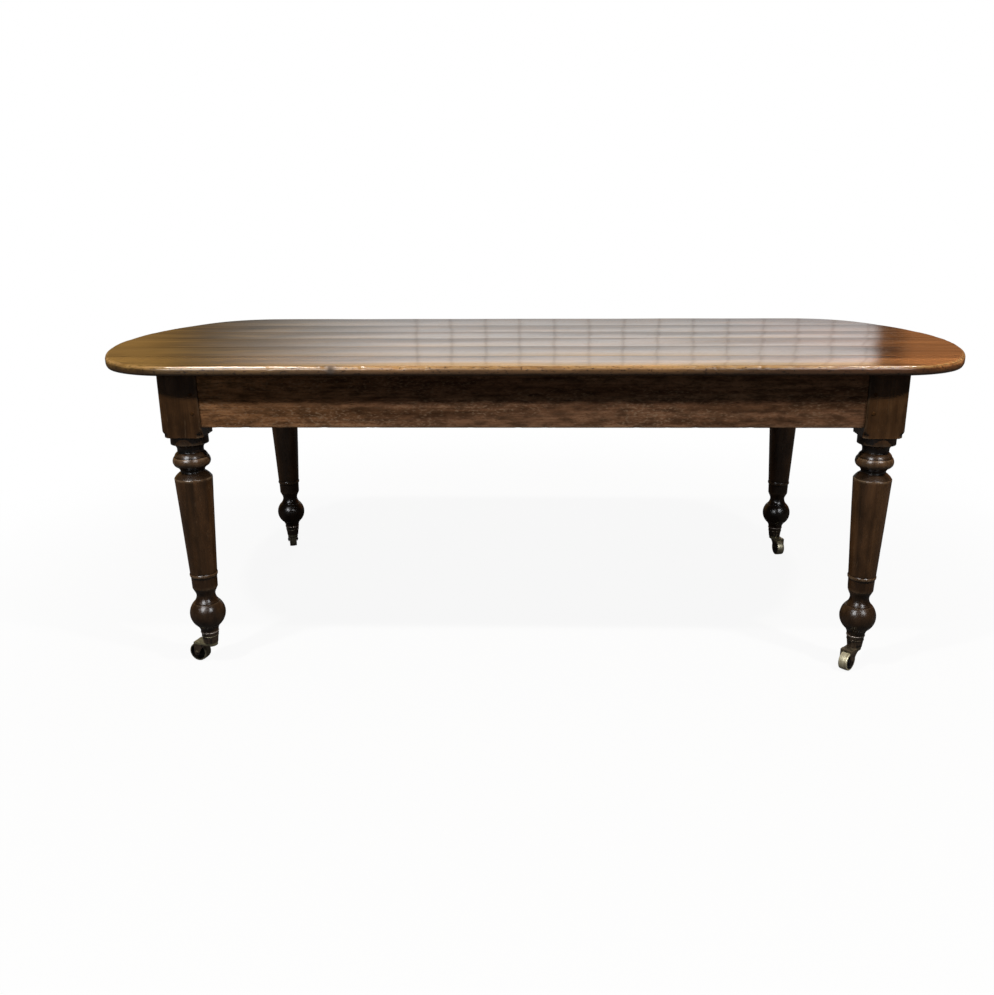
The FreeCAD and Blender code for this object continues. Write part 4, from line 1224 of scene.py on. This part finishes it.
def mirrored_room(tree, stage):
    """What polish mirrors, by direction: a barred window, a warm surround beside it, dimness elsewhere.

    The window fades in from its left and ends at its right; its bars stand at even steps of the slope
    x / y, and its light changes with height from sill to daylight to lamplight.
    """
    direction = add_node(tree, "ShaderNodeTexCoord").outputs["Generated"]
    sideways, ahead, upward = split(tree, direction)
    window = product(tree, step_up(tree, sideways, *WINDOW_LEFT), step_up(tree, sideways, *WINDOW_RIGHT))
    window = product(tree, window, step_up(tree, ahead, 0.0, 0.3))
    slope = combine(tree, "DIVIDE", sideways, ahead)
    panes = combine(tree, "DIVIDE", combine(tree, "SUBTRACT", slope, stage.first_bar), stage.pane)
    bars = step_up(tree, combine(tree, "PINGPONG", panes, 0.5), *BAR_EDGE, BAR_SHADE, 1.0)
    bars = larger(tree, bars, step_up(tree, slope, *UNBARRED_SLOPE))
    window = product(tree, window, bars)
    daylight = ramp(tree, upward, (0.105, stage.sill), (0.160, stage.window), (0.200, stage.lamplight),
                    (0.30, stage.lamplight), (0.50, stage.sill))
    beside = larger(tree, step_up(tree, sideways, *SURROUND_LEFT), step_up(tree, sideways, *SURROUND_RIGHT))
    beside = product(tree, beside, step_up(tree, ahead, 0.3, 0.6))
    warm = painted(tree, (*stage.beside_left, 1.0), step_up(tree, sideways, -0.1, 0.1), stage.beside_right)
    room = blend(tree, beside, (stage.dim, stage.dim, stage.dim, 1.0), warm)
    return blend(tree, window, room, daylight)


def studio_world(stage):
    """White for the camera, an even fill for the table, and a room with a window for what is polished."""
    world = bpy.data.worlds.new("studio")
    bpy.context.scene.world = world
    tree = empty_tree(world)
    path = add_node(tree, "ShaderNodeLightPath")
    mirrored = path.outputs["Is Glossy Ray"]
    colour = blend(tree, mirrored, (*WHITE, 1.0), mirrored_room(tree, stage))
    seen = larger(tree, path.outputs["Is Camera Ray"], path.outputs["Is Transmission Ray"])
    seen = larger(tree, seen, mirrored)
    strength = step_up(tree, seen, 0.0, 1.0, stage.fill, 1.0)
    shader = add_node(tree, "ShaderNodeBackground", {"Color": colour, "Strength": strength})
    add_node(tree, "ShaderNodeOutputWorld", {"Surface": shader.outputs[0]})


def floor_finish(stage):
    """Plain pale floor that fades to white away from the table and throws little light back."""
    finish = bpy.data.materials.new("pale_floor")
    tree = empty_tree(finish)
    place = add_node(tree, "ShaderNodeTexCoord").outputs["Object"]
    distance = add_node(tree, "ShaderNodeVectorMath", {0: place}, operation="LENGTH").outputs["Value"]
    by_camera = add_node(tree, "ShaderNodeLightPath").outputs["Is Camera Ray"]
    white = product(tree, step_up(tree, distance, *FLOOR_FADE, FLOOR_WHITENESS, 1.0), by_camera)
    colour = painted(tree, (*stage.bounce, 1.0), by_camera, stage.floor)
    plain = add_node(tree, "ShaderNodeBsdfDiffuse", {"Color": colour})
    glow = add_node(tree, "ShaderNodeEmission", {"Color": (*WHITE, 1.0)})
    mixed = add_node(tree, "ShaderNodeMixShader", {0: white, 1: plain.outputs[0], 2: glow.outputs[0]})
    add_node(tree, "ShaderNodeOutputMaterial", {"Surface": mixed.outputs[0]})
    return finish


class TABLE_OT_stage(bpy.types.Operator):
    """Set up the floor, the soft studio light and the camera"""
    bl_idname = "table.stage"
    bl_label = "Stage"

    def execute(self, context):
        stage = context.scene.table_stage
        self.make_floor(context.scene, stage)
        studio_world(stage)
        self.make_studio_lamps(stage)
        self.make_gleams(stage)
        self.make_camera(context.scene, stage)
        context.scene.view_settings.view_transform = "Standard"
        return {"FINISHED"}

    def make_floor(self, scene, stage):
        """A square floor under the table."""
        corners = [(-FLOOR_HALF, -FLOOR_HALF, 0.0), (FLOOR_HALF, -FLOOR_HALF, 0.0),
                   (FLOOR_HALF, FLOOR_HALF, 0.0), (-FLOOR_HALF, FLOOR_HALF, 0.0)]
        mesh = bpy.data.meshes.new("floor")
        mesh.from_pydata(corners, [], [(0, 1, 2, 3)])
        mesh.materials.append(floor_finish(stage))
        floor = bpy.data.objects.new("floor", mesh)
        scene.collection.objects.link(floor)

    def make_studio_lamps(self, stage):
        """Lamps that light the table and that nothing mirrors: place, width, height, power, colour."""
        lamps = {
            "key_left": ((-1.8, -1.85, 4.0), 0.22, 0.22, stage.key_power, WARM_WHITE),
            "key_right": ((2.2, -1.85, 4.0), 0.22, 0.22, stage.key_power, WARM_WHITE),
            "strip_light": ((0.2, -1.85, 4.0), 4.4, 0.22, stage.strip_power, WHITE),
            "back_light": ((0.0, 3.4, 3.4), 2.0, 1.0, stage.back_power, WHITE),
            "end_left": ((-3.2, 0.0, 1.1), 1.0, 0.8, stage.end_power, WHITE),
            "end_right": ((3.2, 0.0, 1.1), 1.0, 0.8, stage.end_power, WHITE),
        }
        for name, (place, *lamp) in lamps.items():
            area_light(name, place, LAMP_TARGET, *lamp).visible_glossy = False

    def make_gleams(self, stage):
        """Lamps that are only mirrored: softboxes in the turnings and the front edge, and two above it."""
        front_board = bpy.data.objects[f"{BOARDS[0]}_waxed"]
        front_edge = bpy.data.collections.new("front_edge")
        front_edge.objects.link(front_board)
        turnings = bpy.data.collections.new("turnings")
        turnings.objects.link(front_board)
        for corner in CORNERS:
            turnings.objects.link(bpy.data.objects[f"leg_{corner}_turned"])
            turnings.objects.link(frame["nodes"][f"castor_horn_{corner}"])
            turnings.objects.link(frame["nodes"][f"castor_cup_{corner}"])
            if WHEEL_PAINTED_SHADE[corner] == 0.0:
                turnings.objects.link(bpy.data.objects[f"castor_wheel_{corner}_turned"])
        softbox = (1.1, 1.6, stage.softbox_power, COOL_WHITE)
        above = (0.7, 0.2, stage.arris_power, SOFT_WHITE)
        lamps = (
            (area_light("softbox_left", (-1.42, -2.72, 2.0), LAMP_TARGET, *softbox), turnings),
            (area_light("softbox_right", (2.03, -3.45, 2.6), LAMP_TARGET, *softbox), turnings),
            (area_light("arris_left", (-1.35, -0.45, 3.0), (-1.35, -0.45, 0.0), *above), front_edge),
            (area_light("arris_right", (1.95, -0.45, 3.4), (1.95, -0.45, 0.0), *above), front_edge),
        )
        for lamp, receivers in lamps:
            lamp.light_linking.receiver_collection = receivers
            lamp.visible_diffuse = False

    def make_camera(self, scene, stage):
        """Camera turned by yaw and pitch to face ahead, then by roll about that line."""
        ahead = Vector((math.sin(stage.yaw) * math.cos(stage.pitch),
                        math.cos(stage.yaw) * math.cos(stage.pitch), -math.sin(stage.pitch)))
        level = Vector((math.cos(stage.yaw), -math.sin(stage.yaw), 0.0))
        below = ahead.cross(level)
        right = math.cos(stage.roll) * level + math.sin(stage.roll) * below
        down = math.cos(stage.roll) * below - math.sin(stage.roll) * level
        turn = Matrix((right, -down, -ahead)).transposed().to_4x4()
        data = bpy.data.cameras.new("camera")
        data.lens = stage.lens
        data.shift_x = stage.shift_x
        data.shift_y = stage.shift_y
        data.clip_end = 100.0
        camera = bpy.data.objects.new("camera", data)
        camera.matrix_world = Matrix.Translation(stage.camera_place) @ turn
        scene.collection.objects.link(camera)
        scene.camera = camera


OPERATORS = (TABLE_OT_top_boards, TABLE_OT_rails, TABLE_OT_legs, TABLE_OT_tenon_pegs, TABLE_OT_underside,
             TABLE_OT_castors, TABLE_OT_stage)
SETTINGS = {
    "table_top": TopSettings,
    "table_rails": RailSettings,
    "table_legs": LegSettings,
    "table_castors": CastorSettings,
    "table_underside": UndersideSettings,
    "table_stage": StageSettings,
}


class TABLE_PT_looks(bpy.types.Panel):
    """Steps that dress the table"""
    bl_idname = "TABLE_PT_looks"
    bl_label = "Farmhouse table"
    bl_space_type = "VIEW_3D"
    bl_region_type = "UI"
    bl_category = "Table"

    def draw(self, context):
        for operator in OPERATORS:
            self.layout.operator(operator.bl_idname)


def register():
    """Add the settings to the scene, and the operators and the panel to Blender."""
    for name, settings in SETTINGS.items():
        bpy.utils.register_class(settings)
        setattr(bpy.types.Scene, name, PointerProperty(type=settings))
    for operator in OPERATORS:
        bpy.utils.register_class(operator)
    bpy.utils.register_class(TABLE_PT_looks)


def unregister():
    """Take away what register added, in the opposite order."""
    bpy.utils.unregister_class(TABLE_PT_looks)
    for operator in reversed(OPERATORS):
        bpy.utils.unregister_class(operator)
    for name, settings in reversed(SETTINGS.items()):
        delattr(bpy.types.Scene, name)
        bpy.utils.unregister_class(settings)


def main():
    """Dress the table piece by piece."""
    register()
    bpy.ops.table.top_boards()
    bpy.ops.table.rails()
    bpy.ops.table.legs()
    bpy.ops.table.tenon_pegs()
    bpy.ops.table.underside()
    bpy.ops.table.castors()
    bpy.ops.table.stage()


if __name__ == "__main__":
    main()
